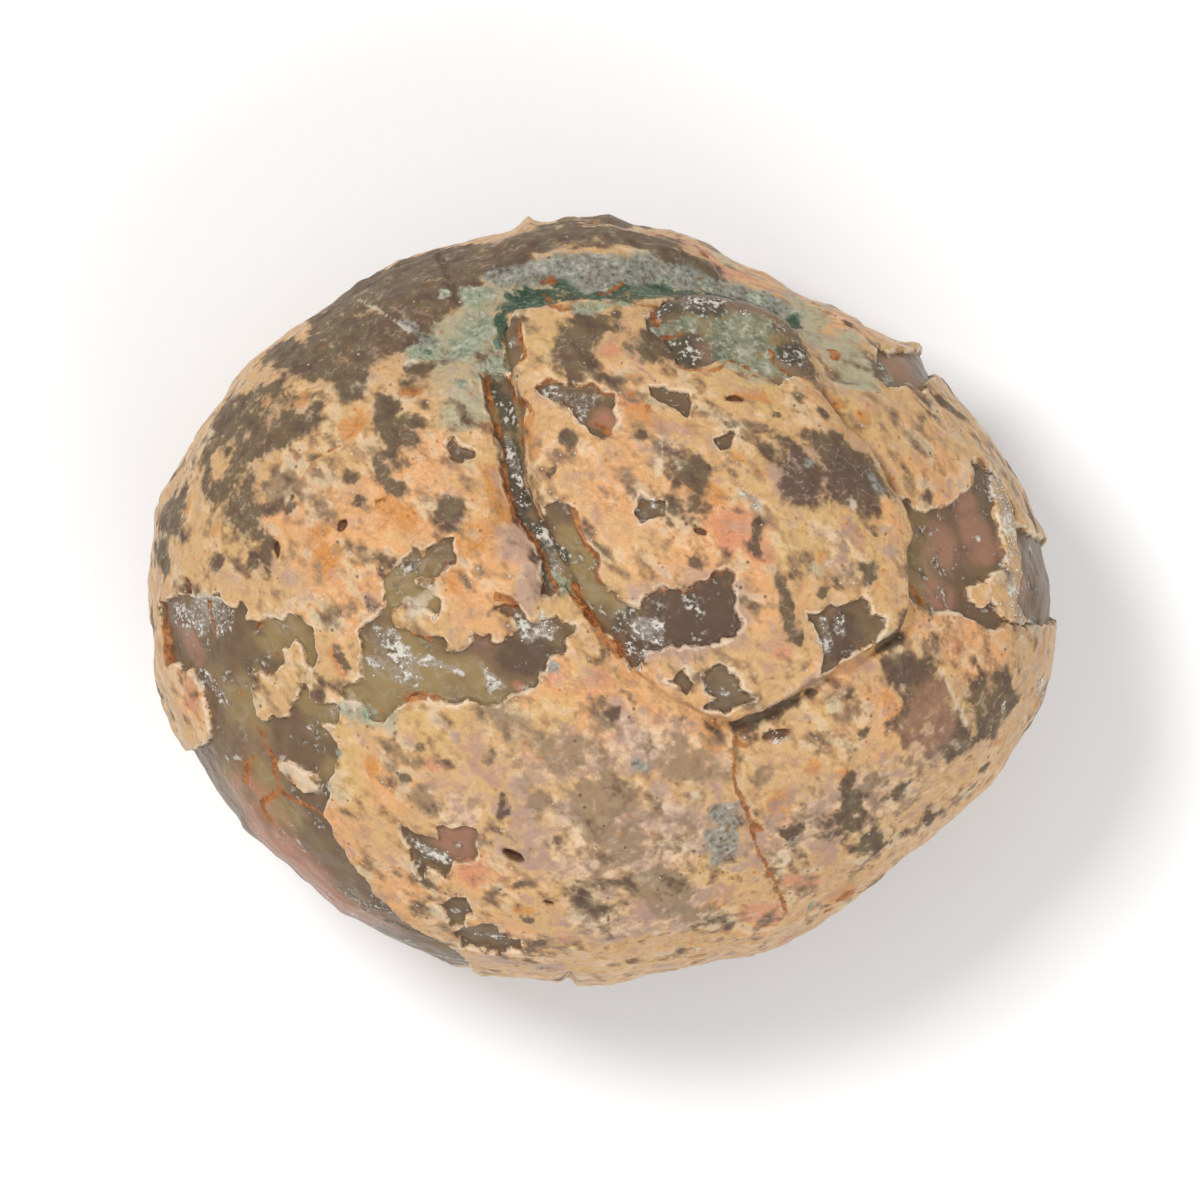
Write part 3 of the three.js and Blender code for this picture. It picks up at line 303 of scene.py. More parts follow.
STROKES = {
    "dusk_and_shadow": (
        (1.1, 4.9, 20.4), (0.8, 8.3, 21.4), (0.9, 12, 4.5), (0.8, 28, 0.9), (1.6, 34.4, 3.2),
        (0.8, 21.7, 22.6), (0.8, 28.2, 23.3), (0.9, 34.5, 8.6), (1.1, 23, 3, 23.4, -3.5),
        (1.2, 25.1, -4), (1.3, -4.2, 20.5), (0.7, -5.7, 16.1), (1.7, -18.6, 11.8), (1.5, -31, 15),
        (1.4, -30, 12.3), (1, -27.6, 17, -25, 13.8), (1.4, -47.7, 4.6), (1.2, -43.3, 4.5),
        (0.8, -38.4, 11.3), (2.2, -23, 27.6), (1.8, -54.5, 4, -55, 6), (1.2, -24.2, -21.6),
        (0.8, -25.6, -16.8), (0.7, -22.2, -18.2), (1.3, -14.3, -19.5), (0.8, -5.4, -29.4),
        (1, -28.7, -0.4), (0.9, -33, -6, -32, -8.5), (0.8, -10.3, -34.5), (1, -9, -39.3),
        (1, -7.4, -42.4), (0.8, -12, -24, -12, -26.2), (0.9, 32.7, -16.5), (0.7, 26.9, -11.9),
        (0.6, 31.4, -11.5), (1.3, 48.4, -21), (0.8, 40.7, -26, 41, -28), (1.5, 36.5, -23.7),
        # (1.2, 18.4, -15.3, 21.8, -14, 24.5, -12.6) is a dark band painted along the lobe's fold: painted
        # shadow under the lobe.
        (1.2, 18.4, -15.3, 21.8, -14, 24.5, -12.6), (3, 29, -28.5), (2.2, 33, -29.5), (1.6, 24, -28.5),
        (0.9, 31, -21.2, 30.5, -24.5), (0.9, 30.9, 34.4), (1.6, 4.5, 44.5, 7.5, 44),
        (1.3, -8, 46.3, 4, 47), (1.3, 9.5, 43.2, 13.5, 42), (0.8, 14.8, -24), (0.7, 19.7, 9.3, 19.8, 6),
        (1, 38, -4.8, 36, -6), (0.9, 2, -14), (0.9, -27, -41, -22, -43), (1.1, 46, 22.5, 43, 25),
        (2.4, 8.5, 36.5, 14, 36.5), (3.6, 9.5, 31.5), (2.4, 23.5, 31),
        (1.6, -12.6, 27, -11.2, 18, -8.8, 10, -6.4, 5), (5, -31, 34, -22, 39, -12, 43),
        (4, -18, 43, -9, 46, 6, 47), (3, -3, 46, 9, 45), (2.4, 7, 44, 15, 41.5),
        (2.6, -46, 15, -39, 24), (1.6, -42, 11), (2.6, -9, 44.8, -3, 45.2, 4, 45),
    ),
    "haze": (
        (2, 2.5, -29.5), (1.5, 1.5, -24), (1.6, -7, -25), (1.6, 16, -33), (1.8, -1, -38), (1.4, 8, -20),
        (2, -22, -25), (1.6, 14, -21), (1.4, -15, -30), (1.8, 20, -22), (1.5, 33, -22), (1.6, 12, -28),
        (1.6, -36, 22), (2, -40, 14), (2.4, 8, -20, 14, -22),
    ),
    "busy": (
        (9, -5, -30, 8, -30), (8, 22, -30, 33, -24), (7, 42, -18), (6, 0, -40, 12, -38), (5, -18, -26),
        (5, -8, -20, 8, -18), (4, 30, 6), (3, 8, 18), (3, -30, 26),
    ),
    "peach": (
        (9, -32, 6), (8, -24, 12), (6, -38, 12), (4, -30, -1), (5, -22, 17), (5, -15, 4), (9, 6, 14),
        (7, 14, 8), (6, 20, 3), (5, 2, 26), (6, 12, 0), (7, -34, -28), (5, -26, -23), (6, -24, -36),
        (6, -12, -42), (3, -16, -3), (7, 2, -13), (6, 12, -16), (5, -8, -9), (5, -15, -34), (7, 46, 10),
        (6, 41, 18), (6, 48, -6), (5, 42, -5), (4, 30, -8), (5, 18, 40, 30, 35),
        (2, 35, -11.5, 37, -15), (1.6, 35.8, -18.5), (1.3, 26, -20.5), (1.2, 30, -21), (4, 20, -41),
        (3, 32, 12, 36, 10), (1.6, 0.5, 32), (5, -52, -12),
    ),
    "yellow": (
        (2.2, -33, -17, -32, -24), (2.4, 22, -24.5), (1.8, 23.5, -26.5), (1.2, -43.5, -13.5),
        (1.5, -32.2, -22), (1, 22.7, 36), (2.4, -16, 8), (1.5, -25, -1), (2.2, 24, 8, 23.5, 3),
        (2.5, -46, 7), (2, -37.2, 25.2), (4, 9, 17), (4, 27, 6, 33, 9), (4, -8, 31),
        (3, 20, 25, 12, 27), (2, 13, -24.7), (4, -6, -15), (4, -20, -16), (4, 15, -34), (4, 28, -14),
        (3, 40, -8, 46, -16), (3, 33, 24), (3, 38, 20), (3, -10, -27),
    ),
    "amber": (
        (0.7, -12.6, 14, -10.4, 9), (0.7, -9.6, 23, -8.2, 18), (1.6, 0, 23.4), (2.2, -34.4, 4.8),
        (1.5, -37.2, 25.2), (1, -39.9, 20.1), (1.6, -30.7, 21.5), (2.2, 5.5, 23.5),
        (1.8, -13, 15, -11, 10.5), (2.4, -15.7, 8), (1.3, 17.3, 17.5), (0.8, 20.5, 15.8),
        (1.8, 14.5, -18), (2.2, 22.5, -25), (1.6, 23.5, -27), (1.4, -18, 2.5),
        (0.8, -29, -20, -28.5, -21.5), (1.6, -36, 8), (1.4, -27, 11.8, -23.5, 10.2), (1.3, -48, 9),
        (1, -44, 9.5), (1, 35.5, -12, 36.8, -15), (1.2, 32.5, 31.5), (1, 17, 24.5, 20, 24.6),
        (2.6, 30, -36.6), (1.1, 26, -20.5), (0.9, 30, -21), (0.9, -24, -13), (1.3, -32.7, -8),
        (1.8, 13, 13), (1.5, 16, 9), (1.3, 30.6, 25.3), (1.2, -9.5, -38), (1.3, 33, 23), (1.5, 14, -38),
        (1, 10, 44.5), (1.4, 28, 4), (1.6, 5, -15), (1.4, -52, 12), (1, -46.5, -12),
    ),
    "blush": (
        (3.2, 17.5, 9), (2, 20, 6), (2, 0.8, 22.5), (1.6, 3.5, 25), (3, 21, -39.5),
        (1.4, 23.8, -35, 26.5, -35), (1.2, -6.3, -9.8), (1.8, -0.3, -10.3), (1.4, 4, -17.5),
        (1.2, 3, -16.8), (1.7, 0.5, 32.3), (2.4, -15, -34), (1.6, -4.5, -42), (1.6, 6, 46.2, 14, 43.5),
        (1.5, 15, 42.2, 18, 41), (2, 25.5, 38.4), (1, 49.8, -16.8), (7, -44, -26, -34, -39),
        (1.4, -20, -21), (1, -10, -11), (1.4, 23, -6), (1.3, 45, -6), (1.6, -52, -12),
    ),
    "lilac": (
        (3, -9.8, 6.5), (2, -8.5, 2), (1.6, -7, -25), (1.2, -12, -25.5), (1.4, -9.5, -22.8),
        (1.2, 4.6, -20), (1.4, 7.2, -23), (1.6, 16.5, -26.5), (1.5, 13, -30.7), (1.6, 1.5, -36),
        (1.8, 1.5, -42), (1.2, -1.1, -32.5), (0.5, -19.8, -14.8, -17.7, -17), (1.6, -3.5, -26),
        (1.4, 38, -9.5), (1.2, -13, -45, -6, -46), (1.2, 2, -13, 6, -19), (1, -28.7, -0.4),
        (1.6, 8, -27), (1.2, 22, -13), (1.2, -38.5, 3), (1.4, 37, 6), (1.3, 27, -10), (1.2, 18, -34),
        (4, 31, 16), (3, 24.5, 15), (4, 8, -3, 15, -2), (3, 31, -5), (2.6, -9, -7),
    ),
    "slate": (
        (3.2, -12, 40, -7, 42, 2, 42.4, 10, 41.6, 18, 39.4, 22, 37.6), (3.6, 22.5, 33, 25.5, 29.5),
        (2, 13, 36.8), (2, -10.5, 37.5), (2.6, 15.6, -27, 16.4, -32), (1.2, 4.6, -20),
        (1.7, -4, 25.6, -1, 25.6), (1.2, 26.5, -38.5), (1.2, -25, 34.2, -21, 33), (1, -44.7, 27),
        (1.5, 35, 14.5), (1, 26.2, 16.5), (1.2, 24, -30), (1.1, -6.5, -8.5), (1, 12, -36),
    ),
    "green": (
        (3, -11.5, 36.3, -8.4, 39.2, -5, 40.3, -2.3, 39.3, 2.5, 39, 3.5, 39.7, 8, 40, 11.4, 39.7,
         16.5, 38.6, 19.5, 37.3, 23.6, 35.9), (3.5, -9.5, 38.6, -5, 39.8), (2.2, 4.2, 38.6),
        (2, -7.7, 38), (0.9, -22, 31.6), (1.4, -12.6, 35.6, -12.4, 33),
    ),
    "mint": (
        (4, -9.3, 38.4), (4.4, -14.5, 35), (3.4, -18, 32), (3, -15.5, 38), (3, -22, 31.6),
        (2.6, -13.8, 29.5), (2, -17.5, 27.5), (4.5, 17.5, 31.5), (2, 8, 34, 12, 34.5), (2.6, 9, 41.2),
        (2.4, 14, 40.4), (2, 20, 38.6), (1.8, 24.5, 36.2), (1.6, -3, 36.8, 3, 37), (1.2, -32, -13.2),
        (1.3, -29, -14), (0.8, -6, 3.4, -5, 1), (1.1, 26.8, -38.2), (0.8, -35.5, 17.3), (1, -33.3, -19),
        (1.5, 17, 33.5), (0.9, 37.5, 28.8), (1.2, 1, 37.6, -3, 37.3), (0.7, -22.5, -4.6),
        (1.6, -19, 38),
    ),
    "sage": (
        (2, -31, -13.4, -27, -14), (5, -19, 33, -14, 36.5, -6, 41),
        (4, -4, 41.5, 6, 41.5, 16, 40, 26, 35.5), (4.2, -17, 33, -17, 25), (2.6, -20, 30, -18, 22),
        (3, 27, 34), (2.4, 24, 37.5), (3, 30, 33, 34, 28.5), (3.4, -18, 32.5), (2.4, -16, 26.5),
        (2.4, -13.5, 31), (1.6, -13.5, 24), (2, 28, 36.5), (2.6, 2.5, 42), (2, 11, 42.3),
        (1.3, -8, 45, -6, 44.5), (2, -16.5, 29),
    ),
    "pale": (
        (1.5, -40, -21, -36.5, -23.5), (1.3, -23.6, -0.4, -21.5, 1.2), (0.7, 7.4, 19.5, 7.4, 15.5),
        # (0.7, 19.8, 22.4) and (0.9, 23.4, 21.8) are two small glare spots on the lobe, not whitish skin:
        # painted highlights.
        (0.6, 31.8, 12, 31.8, 11.2), (0.7, 19.8, 22.4), (0.9, 23.4, 21.8),
        (0.4, -29.7, 36.8, -26.5, 35, -23.5, 33), (0.4, 43, -8.6, 44.3, -12, 46, -15.5),
        (1.4, 12.6, -24.6), (1.4, -31, -12.5), (1.2, 7, -41), (0.8, 25.5, -37.5), (0.8, 35.8, -19.6),
    ),
    "rust": (
        (1.1, -23.8, 25.3, -22.4, 25.1), (0.8, 3.6, 45.5), (0.6, -8.9, 43.6),
        (0.9, -7.4, 41.6, -6.2, 41.4), (0.7, -0.9, 47.5, -3, 47.4), (0.5, -9.1, 47.5), (1, 10, 45.4),
        (1, 12.4, 44.2, 13.6, 43.4), (0.5, 13.1, 41.5), (0.6, -7.4, 40, -6.6, 38.4),
        (0.7, -6.4, 36.8, -4, 36.5), (0.7, -3.4, 37.6), (1, 5, 37.6, 7, 37.6),
        (0.6, 29.5, 32.2, 29.9, 30.8), (0.6, 25.5, 34.2), (0.5, 30.6, 25.4), (0.5, 33, 23.6),
        (0.45, -9.8, 34.5, -9.8, 31.8, -9.1, 30.1, -11.3, 28.4, -10.8, 25.7, -9.1, 24.3, -8.3, 22.9),
        (0.4, -9.8, 20.9, -9.7, 17.8), (0.45, -14.5, 28.8, -13.9, 24.7, -12.6, 20.9),
        (0.8, -0.3, 22.5, 1, 21),
        (0.5, 8.8, 30.4, 10.5, 28.6, 13.5, 27.9, 16.3, 28.9, 18, 28.1, 20, 26.8),
        (0.55, 21, 31.2, 21.7, 29.4, 23.4, 28.1, 25.5, 26.7), (0.6, 6.2, 36.4, 7.2, 34.6),
        (0.6, 7.5, 33.2, 10, 33.4), (0.7, 40.3, 2, 41.3, -0.8), (0.9, 4, 25.7),
        (0.4, -41.9, 30.5, -41.3, 30.6), (0.5, -44.7, 28.2), (0.5, -45, 24.6),
        (0.4, -33.5, 18.4, -32, 19), (0.6, -27.8, 11.9, -26.8, 12.2), (0.5, -23.9, 10.2),
        (0.4, -16.4, 14.7), (0.4, -6, 17.5), (0.35, 7.8, 4.6), (0.5, -13.3, 0.5, -10.4, -0.5),
        (0.5, -23.4, -4.1, -21.6, -4.9), (0.6, -24.2, -12.4, -22, -12), (0.5, -27.2, -14.2),
        (0.6, -45.3, -13.4), (0.8, -44.2, -16.3, -43, -18.5),
        (0.6, -43, -18.5, -41.6, -20.9, -41.3, -24, -40.6, -24.7, -37.8, -26, -34.8, -27.2),
        (0.7, -44.7, -20.2, -45.4, -22, -45.3, -23.6), (0.7, -41, -24.5, -43, -26, -42, -28),
        (0.5, -41.2, -7), (0.5, -43, -3), (0.4, -35.5, -8), (0.7, -55, 0, -54.6, -4, -54.4, -8),
        (0.6, -49.2, -0.5, -48.7, -4), (0.6, -3.4, 1.8, -1.6, -1.8, 0.2, -4.6, 2.6, -7),
        (0.35, -7.3, 6, -6.4, 3.4, -5.2, 0.8),
        (0.3, -12.3, 17.5, -11.8, 14.8, -10.8, 11, -8.6, 8.3, -7.6, 6.2),
        (0.4, -3, 11.5, -1.6, 6.8, -0.4, 5.6), (0.6, 17.2, -17.6, 18.2, -18.1, 18.9, -17.2),
        (0.35, 17.4, -16.6, 18.4, -15.9),
        (0.4, 17, -17, 16.9, -19.5, 16.7, -22.2, 18, -25.9, 19, -28.3, 20, -31.4, 21.5, -34.4,
         23.2, -37.8, 23.5, -39.5), (0.9, 19.3, -28.2, 20.3, -28.5), (0.9, 21.5, -35.1),
        (1.9, 30.4, -36.8), (1.2, 28.8, -38.6), (0.45, 18.4, -26.3), (0.5, 23.2, -38.2),
        (0.3, 14.7, -15.2, 15.1, -18.5), (0.15, 0.8, -34, 0.7, -37, 1, -40), (0.4, 0.9, -39.2),
        (0.5, -10, -42.6), (0.6, 6, 24), (0.4, 40, -1.4), (0.4, 36.8, 14.5), (0.5, -20.5, -12.3),
        (0.6, 0, 40, 3, 41), (0.4, 18, 36.6), (0.5, -13, 33.4), (0.4, -36.5, 9), (0.35, -30, 9),
        (0.4, -46, 14.5), (0.4, -50, 10.5),
    ),
    "frost": (
        (1.9, 49.4, 15.5, 51, 11.5, 52.2, 9, 52.2, 3, 53.2, -2), (2.2, -5.5, 26, -2.5, 25),
        (2.6, -27.5, -5.5, -25, -8.5), (1.1, -28.5, -7.5), (0.8, -22, -7.5, -18, -9.3),
        (0.7, -15, -8, -12, -11), (1.4, -9.5, -3.6, -7, -3.8), (1.3, 5, -3, 8, -4.4),
        (0.8, 3.2, -6, 5.4, -7), (0.9, 28.4, -3.2, 29, -5.5), (0.9, 30.3, -2.6, 31, -4.5),
        (1.3, -22.5, -31, -19.5, -32.5), (2.4, -53, -2, -47.5, -2), (1.4, -50.5, -10.5, -49, -12.5),
        (1.2, -46.8, -1.5), (1, 22, -16.8), (0.9, 16, -11.5), (0.9, 14.5, -12.5),
        (1, -12.4, -42.8, -15, -42.6), (0.9, -18.5, -39), (0.6, 18.4, 13.5, 19.5, 12), (0.8, 7, 12),
        (0.7, 52.5, 8), (0.6, 50.8, -1), (1.4, 10.5, 37, 15, 37), (1.2, 18, 35.5),
        (0.9, 11.5, 31, 13.5, 30), (1.2, 25, 30.5), (1.1, -10.5, 32.5),
        (0.7, -12, 21.5, -11, 17, -9.4, 12.5), (0.7, -7.8, 9, -5, 4), (1.2, -24, 28.6),
        (0.8, 12, -43.5), (0.8, 55.3, -10, 55.2, -13), (0.9, 50.8, -13.2), (0.6, 49.4, -15.6),
        (1.1, -3.5, 25.7), (0.7, 39.5, -21.6), (0.8, 43.5, 11.3), (0.6, 48.7, 8.4), (1.2, 36, 16.5),
        (0.7, -39.3, -17.6), (1, -34, -13.8), (0.8, -37, -16), (0.5, -19.4, 4.2), (0.6, 10, -11),
        (0.8, 38, 29), (0.5, -45.5, -26), (0.6, 15.6, 19.3),
    ),
    "olive": (
        (6, -46, -14), (6, -42, -24), (5, -24, 2), (6, -24, -11), (4, -16, -10), (3, -30, -13),
        (4.5, -40, -3.5), (3, -37, -7), (4, -36, -14), (4.5, 41, 3), (3, 41, 8), (4, 0, 2), (3, -3, 7),
        (9, 17, 32), (5, -12, 22), (5, -44, -20), (2.5, -32.5, -22), (4, -47, -24),
    ),
    "ruddy": (
        (8, -38, -34), (3, -52, -6), (4, 49, 8), (3, 46, 14), (4, -18, -30), (6, 42, -14), (3.5, 44, 7),
        (5, -41, -31), (4, 39, 30), (3, 54, 2), (2, 1, 23), (5, -30, -40), (3, 44, 0),
        (1.5, -10.6, -31.3),
    ),
}

PATCHES = {
    "dusk_and_shadow": (
        (-32.4, 37.5, -34.4, 35.5, -35.8, 33.7, -36.1, 30.7, -36.5, 28.3, -35.1, 27.3, -32.7, 27.6,
         -31.7, 25.9, -30.3, 24.9, -29.3, 26.3, -28, 28.5, -25.6, 30, -24.2, 31, -22.4, 33, -20.5, 35.2,
         -17.5, 37.5, -13, 40.5, -12, 43.5, -16, 44.5, -22, 43.5, -27, 41.2, -31, 39),
        (-44.7, 24.9, -41.9, 26.9, -39.9, 26.6, -39.2, 24.9, -37.8, 23.2, -35.8, 23.9, -35.1, 22.5,
         -35.8, 21.1, -37.2, 19.4, -38.5, 19.1, -39.9, 18.4, -41.6, 17, -42.6, 17.4, -43.3, 19.8,
         -44, 22.2),
        (-47.7, 23.2, -45.7, 23.9, -44.3, 21.5, -43.6, 19.1, -44.7, 16.4, -46, 17, -45.7, 19.1,
         -46.4, 18.4, -48.4, 17.7, -49.4, 18.4, -49.8, 15.3, -49.1, 13.6, -48.1, 15.3),
        (-43.3, 15.7, -41.9, 13.6, -41.6, 10.9, -41.2, 8.5, -40.9, 5.1, -41.6, 3.7, -42.6, 6.8,
         -43.6, 7.8, -45.3, 8.5, -46.4, 10.6, -46, 12.3, -47.7, 11.9, -48.7, 13, -48.1, 14, -46, 13,
         -44.3, 13.6), (-54.2, 13.3, -52.5, 13.3, -52.3, 11.3, -53.2, 8.2, -54.5, 8.5, -55.6, 10.6),
        (-41.2, 31.4, -37.2, 32, -36.1, 30.3, -37.2, 29, -39.9, 28.6, -41.9, 29.7),
        (-27.3, 23.2, -26.2, 24.5, -23.5, 22.5, -22.2, 21.8, -23.2, 19.1, -25.2, 18.4, -26.2, 19.8,
         -26.6, 21.5),
        (-4, 34.9, -0.9, 36.2, 0.5, 36.2, 0.8, 35.2, -0.6, 34.2, -1.6, 32.5, -1.6, 30.5, -3.6, 29.4,
         -5, 28.8, -5.5, 30.1, -5, 32.2, -4.5, 33.9),
        (1.5, 35.6, 2.5, 35.9, 3.5, 34.5, 5.2, 32.8, 6.6, 31.8, 6.9, 30.5, 5.2, 29.4, 3.9, 30.1,
         2.5, 30.8, 2.3, 31.8, 2.8, 32.8, 1.8, 34.2),
        (21.7, 19.9, 23.4, 19.9, 25.5, 18.2, 27.2, 15.5, 26.8, 12.7, 25.5, 11.7, 24.1, 11, 22.7, 12,
         22, 14.1, 22, 16.5),
        (25.8, 20.6, 28.2, 19.9, 28.9, 21.3, 30.2, 20.6, 30.9, 18.9, 33.6, 17.8, 35, 16.5, 36.4, 14.1,
         36.7, 12.7, 34.7, 13.1, 34, 10.7, 32.3, 10, 30.6, 10.7, 28.9, 12.7, 28.2, 15.5, 26.8, 17.8),
        (9.3, 15.8, 12, 17.2, 13.2, 16.5, 12.7, 14.1, 13.1, 12, 11.7, 10.7, 10.7, 11.7, 10.3, 14.1),
        (36.1, -8.6, 37.5, -8, 41.6, -8.3, 43, -9.7, 44.3, -13.4, 45.7, -16.1, 47, -16.8, 46.4, -18.9,
         44.3, -19.5, 43, -20.9, 41.6, -19.5, 39.5, -16.8, 38.5, -15.5, 37.8, -13.4, 38.9, -12,
         37.2, -10),
        (46, -11.4, 48.4, -9.7, 51.1, -9.7, 52.5, -11.4, 51.8, -14.1, 49.8, -16.8, 47.7, -17.5,
         47, -15.5, 46.4, -13.4),
        (25.9, -25, 28.6, -26, 30.3, -24.3, 31.7, -23, 32, -25.7, 31.4, -28.4, 29.3, -29.1,
         26.6, -27.7),
    ),
    "haze": (
        (-15, -14.1, -9.2, -14.4, -7.2, -16.8, -1, -17.2, -0.3, -18.9, -5.5, -20.6, -10.2, -19.2,
         -11.9, -17.2),
        (-3.2, -23.6, 0.2, -22.6, 3.3, -23.3, 5.7, -27.7, 3.6, -31.8, 1.6, -30.5, -1.1, -28.4),
        (5.1, -33.4, 7.2, -32, 11.6, -34.8, 12.6, -36.8, 11.3, -39.5, 6.8, -37.2, 4.4, -35.8),
    ),
    "slate": (
        (-8.4, 43.4, -2.3, 44.1, 1.1, 44.1, 5.2, 43.1, 11.4, 42.4, 14.1, 41.4, 8, 41.4, 5.2, 40.7,
         2.5, 40, 0.5, 39, -2.3, 40, -5, 41, -8, 42.4),
    ),
    "mint": (
        (12.5, 34.5, 17, 36, 20.5, 34.5, 22, 31, 22, 26, 18.5, 26.4, 15, 28, 13, 30.5),
    ),
}

# How much of a kind covers the hidden side; half where nothing is said
HIDDEN_SHARE = {
    "dusk_and_shadow": 0.8, "peach": 0.9, "yellow": 0.8, "olive": 0.9, "ruddy": 0.9, "busy": 0.9, "green": 0.0,
    "mint": 0.0, "sage": 0.5, "slate": 0.2, "rust": 0.45, "frost": 0.5,
}
# Kinds that keep within their own strokes
RARE = ("slate", "green", "mint", "pale", "rust", "frost")
# How uneven a kind is; 1 where nothing is said
UNEVEN = {
    "rust": 0.35, "pale": 0.4, "green": 0.5, "mint": 0.4, "slate": 0.4, "frost": 0.7, "sage": 0.5,
    "blush": 0.7,
}

# Chipped edges lined with rust
RUSTY_EDGES = (
    (2, -13, 22, -11, 14, -8, 8), (1.6, -9.5, 21, -8.5, 13), (1.5, -3, 10, -0.5, 5.5, 1, 1),
    (2, 10, 28.5, 20, 27), (1.6, -7, 27, 1, 27), (1.8, -23, -12), (1.5, -22.5, -4.5), (1.4, -12, -0.5),
    (1.2, 6.5, 25.5),
    (1.4, -17, 17.5), (1.5, -19, 4.5, -21, 2.5), (1.3, 8, -0.5, 16, 3), (1.3, -42, -9), (1.2, -17, -32.5),
    (1, 8, 10), (1.2, -43, -2.5), (1, 3.5, -8.5), (1.2, -12, -41), (1.6, 40, -0.5),
)


# ---- Small maths ----


def smooth(x):
    """0 below 0 and 1 above 1, with a soft step between."""
    t = np.clip(x, 0.0, 1.0)
    return t * t * (3.0 - 2.0 * t)


def bell(x):
    """1 at nothing, falling away softly to both sides."""
    return np.exp(-x * x)


def mix(a, b, t):
    """a where t is 0, b where it is 1."""
    return a + (b - a) * t


def signed_power(x, exponent):
    """A power that keeps the sign."""
    return np.sign(x) * np.abs(x) ** exponent


# Large odd numbers that stir a grid place into one that looks random, and the bits that are kept
HASH_X, HASH_Y, HASH_Z, HASH_MIX = 374761393, 668265263, 1274126177, 1103515245
HASH_BITS = 0xFFFFFFFF
HASH_MIDDLE = 2147483648.0
SECOND_OCTAVE = (7.0, 3.0, 5.0)  # moves the finer noise off the coarser one


def grid_value(i, j, k):
    """A fixed pseudo-random value from -1 to 1 for each point of a whole-number grid."""
    h = (i * HASH_X) ^ (j * HASH_Y) ^ (k * HASH_Z)
    h = h & HASH_BITS
    h = ((h ^ (h >> 13)) * HASH_MIX) & HASH_BITS
    return (h ^ (h >> 16)) / HASH_MIDDLE - 1.0


def noise(points):
    """Smooth noise from -1 to 1 at each point, with lumps about one unit across."""
    cell = np.floor(points)
    u, v, w = smooth(points - cell).T
    i, j, k = cell.astype(np.int64).T

    def edge(b, c):
        return mix(grid_value(i, j + b, k + c), grid_value(i + 1, j + b, k + c), u)

    def face(c):
        return mix(edge(0, c), edge(1, c), v)

    return mix(face(0), face(1), w)


def noise2(points, size):
    """Noise with lumps of this size and a second octave half as large."""
    return (noise(points / size) + 0.5 * noise(2.0 * points / size + SECOND_OCTAVE)) / 1.5


def distance_to(line, at, closed, reach=9.0):
    """Distance of each map place to a route, or to an outline, where it is negative inside.

    Further off than reach, it is reach.
    """
    away = np.full(len(at), reach)
    near = np.all((at > line.min(axis=0) - reach) & (at < line.max(axis=0) + reach), axis=1)
    place = at[near]
    nearest = np.full(len(place), reach)
    inside = np.zeros(len(place), bool)
    starts, ends = (line, np.roll(line, -1, axis=0)) if closed or len(line) == 1 else (line[:-1], line[1:])
    for a, b in zip(starts, ends):
        side = b - a
        offset = place - a
        along = np.clip(offset @ side / max(side @ side, 1e-9), 0.0, 1.0)
        gap = offset - along[:, None] * side
        nearest = np.minimum(nearest, np.hypot(gap[:, 0], gap[:, 1]))
        if closed and side[1] != 0.0:
            crossed = (a[1] > place[:, 1]) != (b[1] > place[:, 1])
            inside ^= crossed & (offset[:, 0] < offset[:, 1] * side[0] / side[1])
    away[near] = np.where(inside, -nearest, nearest)
    return away


# ---- The rim, and the unrolled map that outlines are measured on ----
# A place on the stone is a bearing round the vertical and a polar angle from the crown down.


def rim_radii():
    """The rim's radius at each of RIM_STEPS bearings, by crossing each ray with the outline's sides."""
    bearing = np.arange(RIM_STEPS) * 2.0 * math.pi / RIM_STEPS
    dx, dy = np.cos(bearing), np.sin(bearing)
    radius = np.zeros(RIM_STEPS)
    corners = np.reshape(RIM, (-1, 2)).astype(float)
    for (ax, ay), (bx, by) in zip(corners, np.roll(corners, -1, axis=0)):
        ex, ey = bx - ax, by - ay
        cross = dx * ey - dy * ex
        cross[cross == 0.0] = 1e-12
        along = (ax * dy - ay * dx) / cross
        out = (ax * ey - ay * ex) / cross
        hit = (along >= 0.0) & (along <= 1.0) & (out > 0.0)
        radius = np.where(hit, np.maximum(radius, out), radius)
    return radius


RADII = rim_radii()
SMOOTH_RADII = sum(np.roll(RADII, step) for step in range(-RIM_SMOOTHED, RIM_SMOOTHED + 1))
SMOOTH_RADII = SMOOTH_RADII / (2.0 * RIM_SMOOTHED + 1.0)


def look_up(table, bearing):
    """The radius at a bearing, between the two nearest steps."""
    n = np.mod(bearing / (2.0 * math.pi), 1.0) * RIM_STEPS
    low = np.floor(n).astype(int) % RIM_STEPS
    return mix(table[low], table[(low + 1) % RIM_STEPS], n - np.floor(n))


def map_place(bearing, angle):
    """The map's place for a bearing and an angle down from the crown."""
    return MAP_SCALE * angle[:, None] * np.column_stack((np.cos(bearing), np.sin(bearing)))


def map_stretch(angle):
    """The map grows towards the rim, so a distance measured on it is divided by this."""
    return np.maximum(1.0, angle / np.maximum(np.sin(np.minimum(angle, 2.0)), 0.2))


def unroll(outline):
    """Where an outline, as seen from above, falls on the map."""
    points = np.asarray(outline, float).reshape(-1, 2)
    bearing = np.arctan2(points[:, 1], points[:, 0])
    share = np.hypot(points[:, 0], points[:, 1]) / look_up(RADII, bearing)
    on_lobe = smooth(0.5 - distance_to(LOBE_CORNERS, points, True) / LOBE_SHOULDER)
    spread = CROWN_SPREAD * np.sqrt(np.clip(1.0 - share * share, 0.0, 1.0)) + LOBE_SPREAD * on_lobe
    inner = np.clip(np.minimum(share, 2.0 - share) * (1.0 - spread), 0.0, 1.0)
    angle = np.arcsin(inner ** (CROWN_POWER / 2.0))
    return map_place(bearing, np.where(share <= 1.0, angle, math.pi - angle))


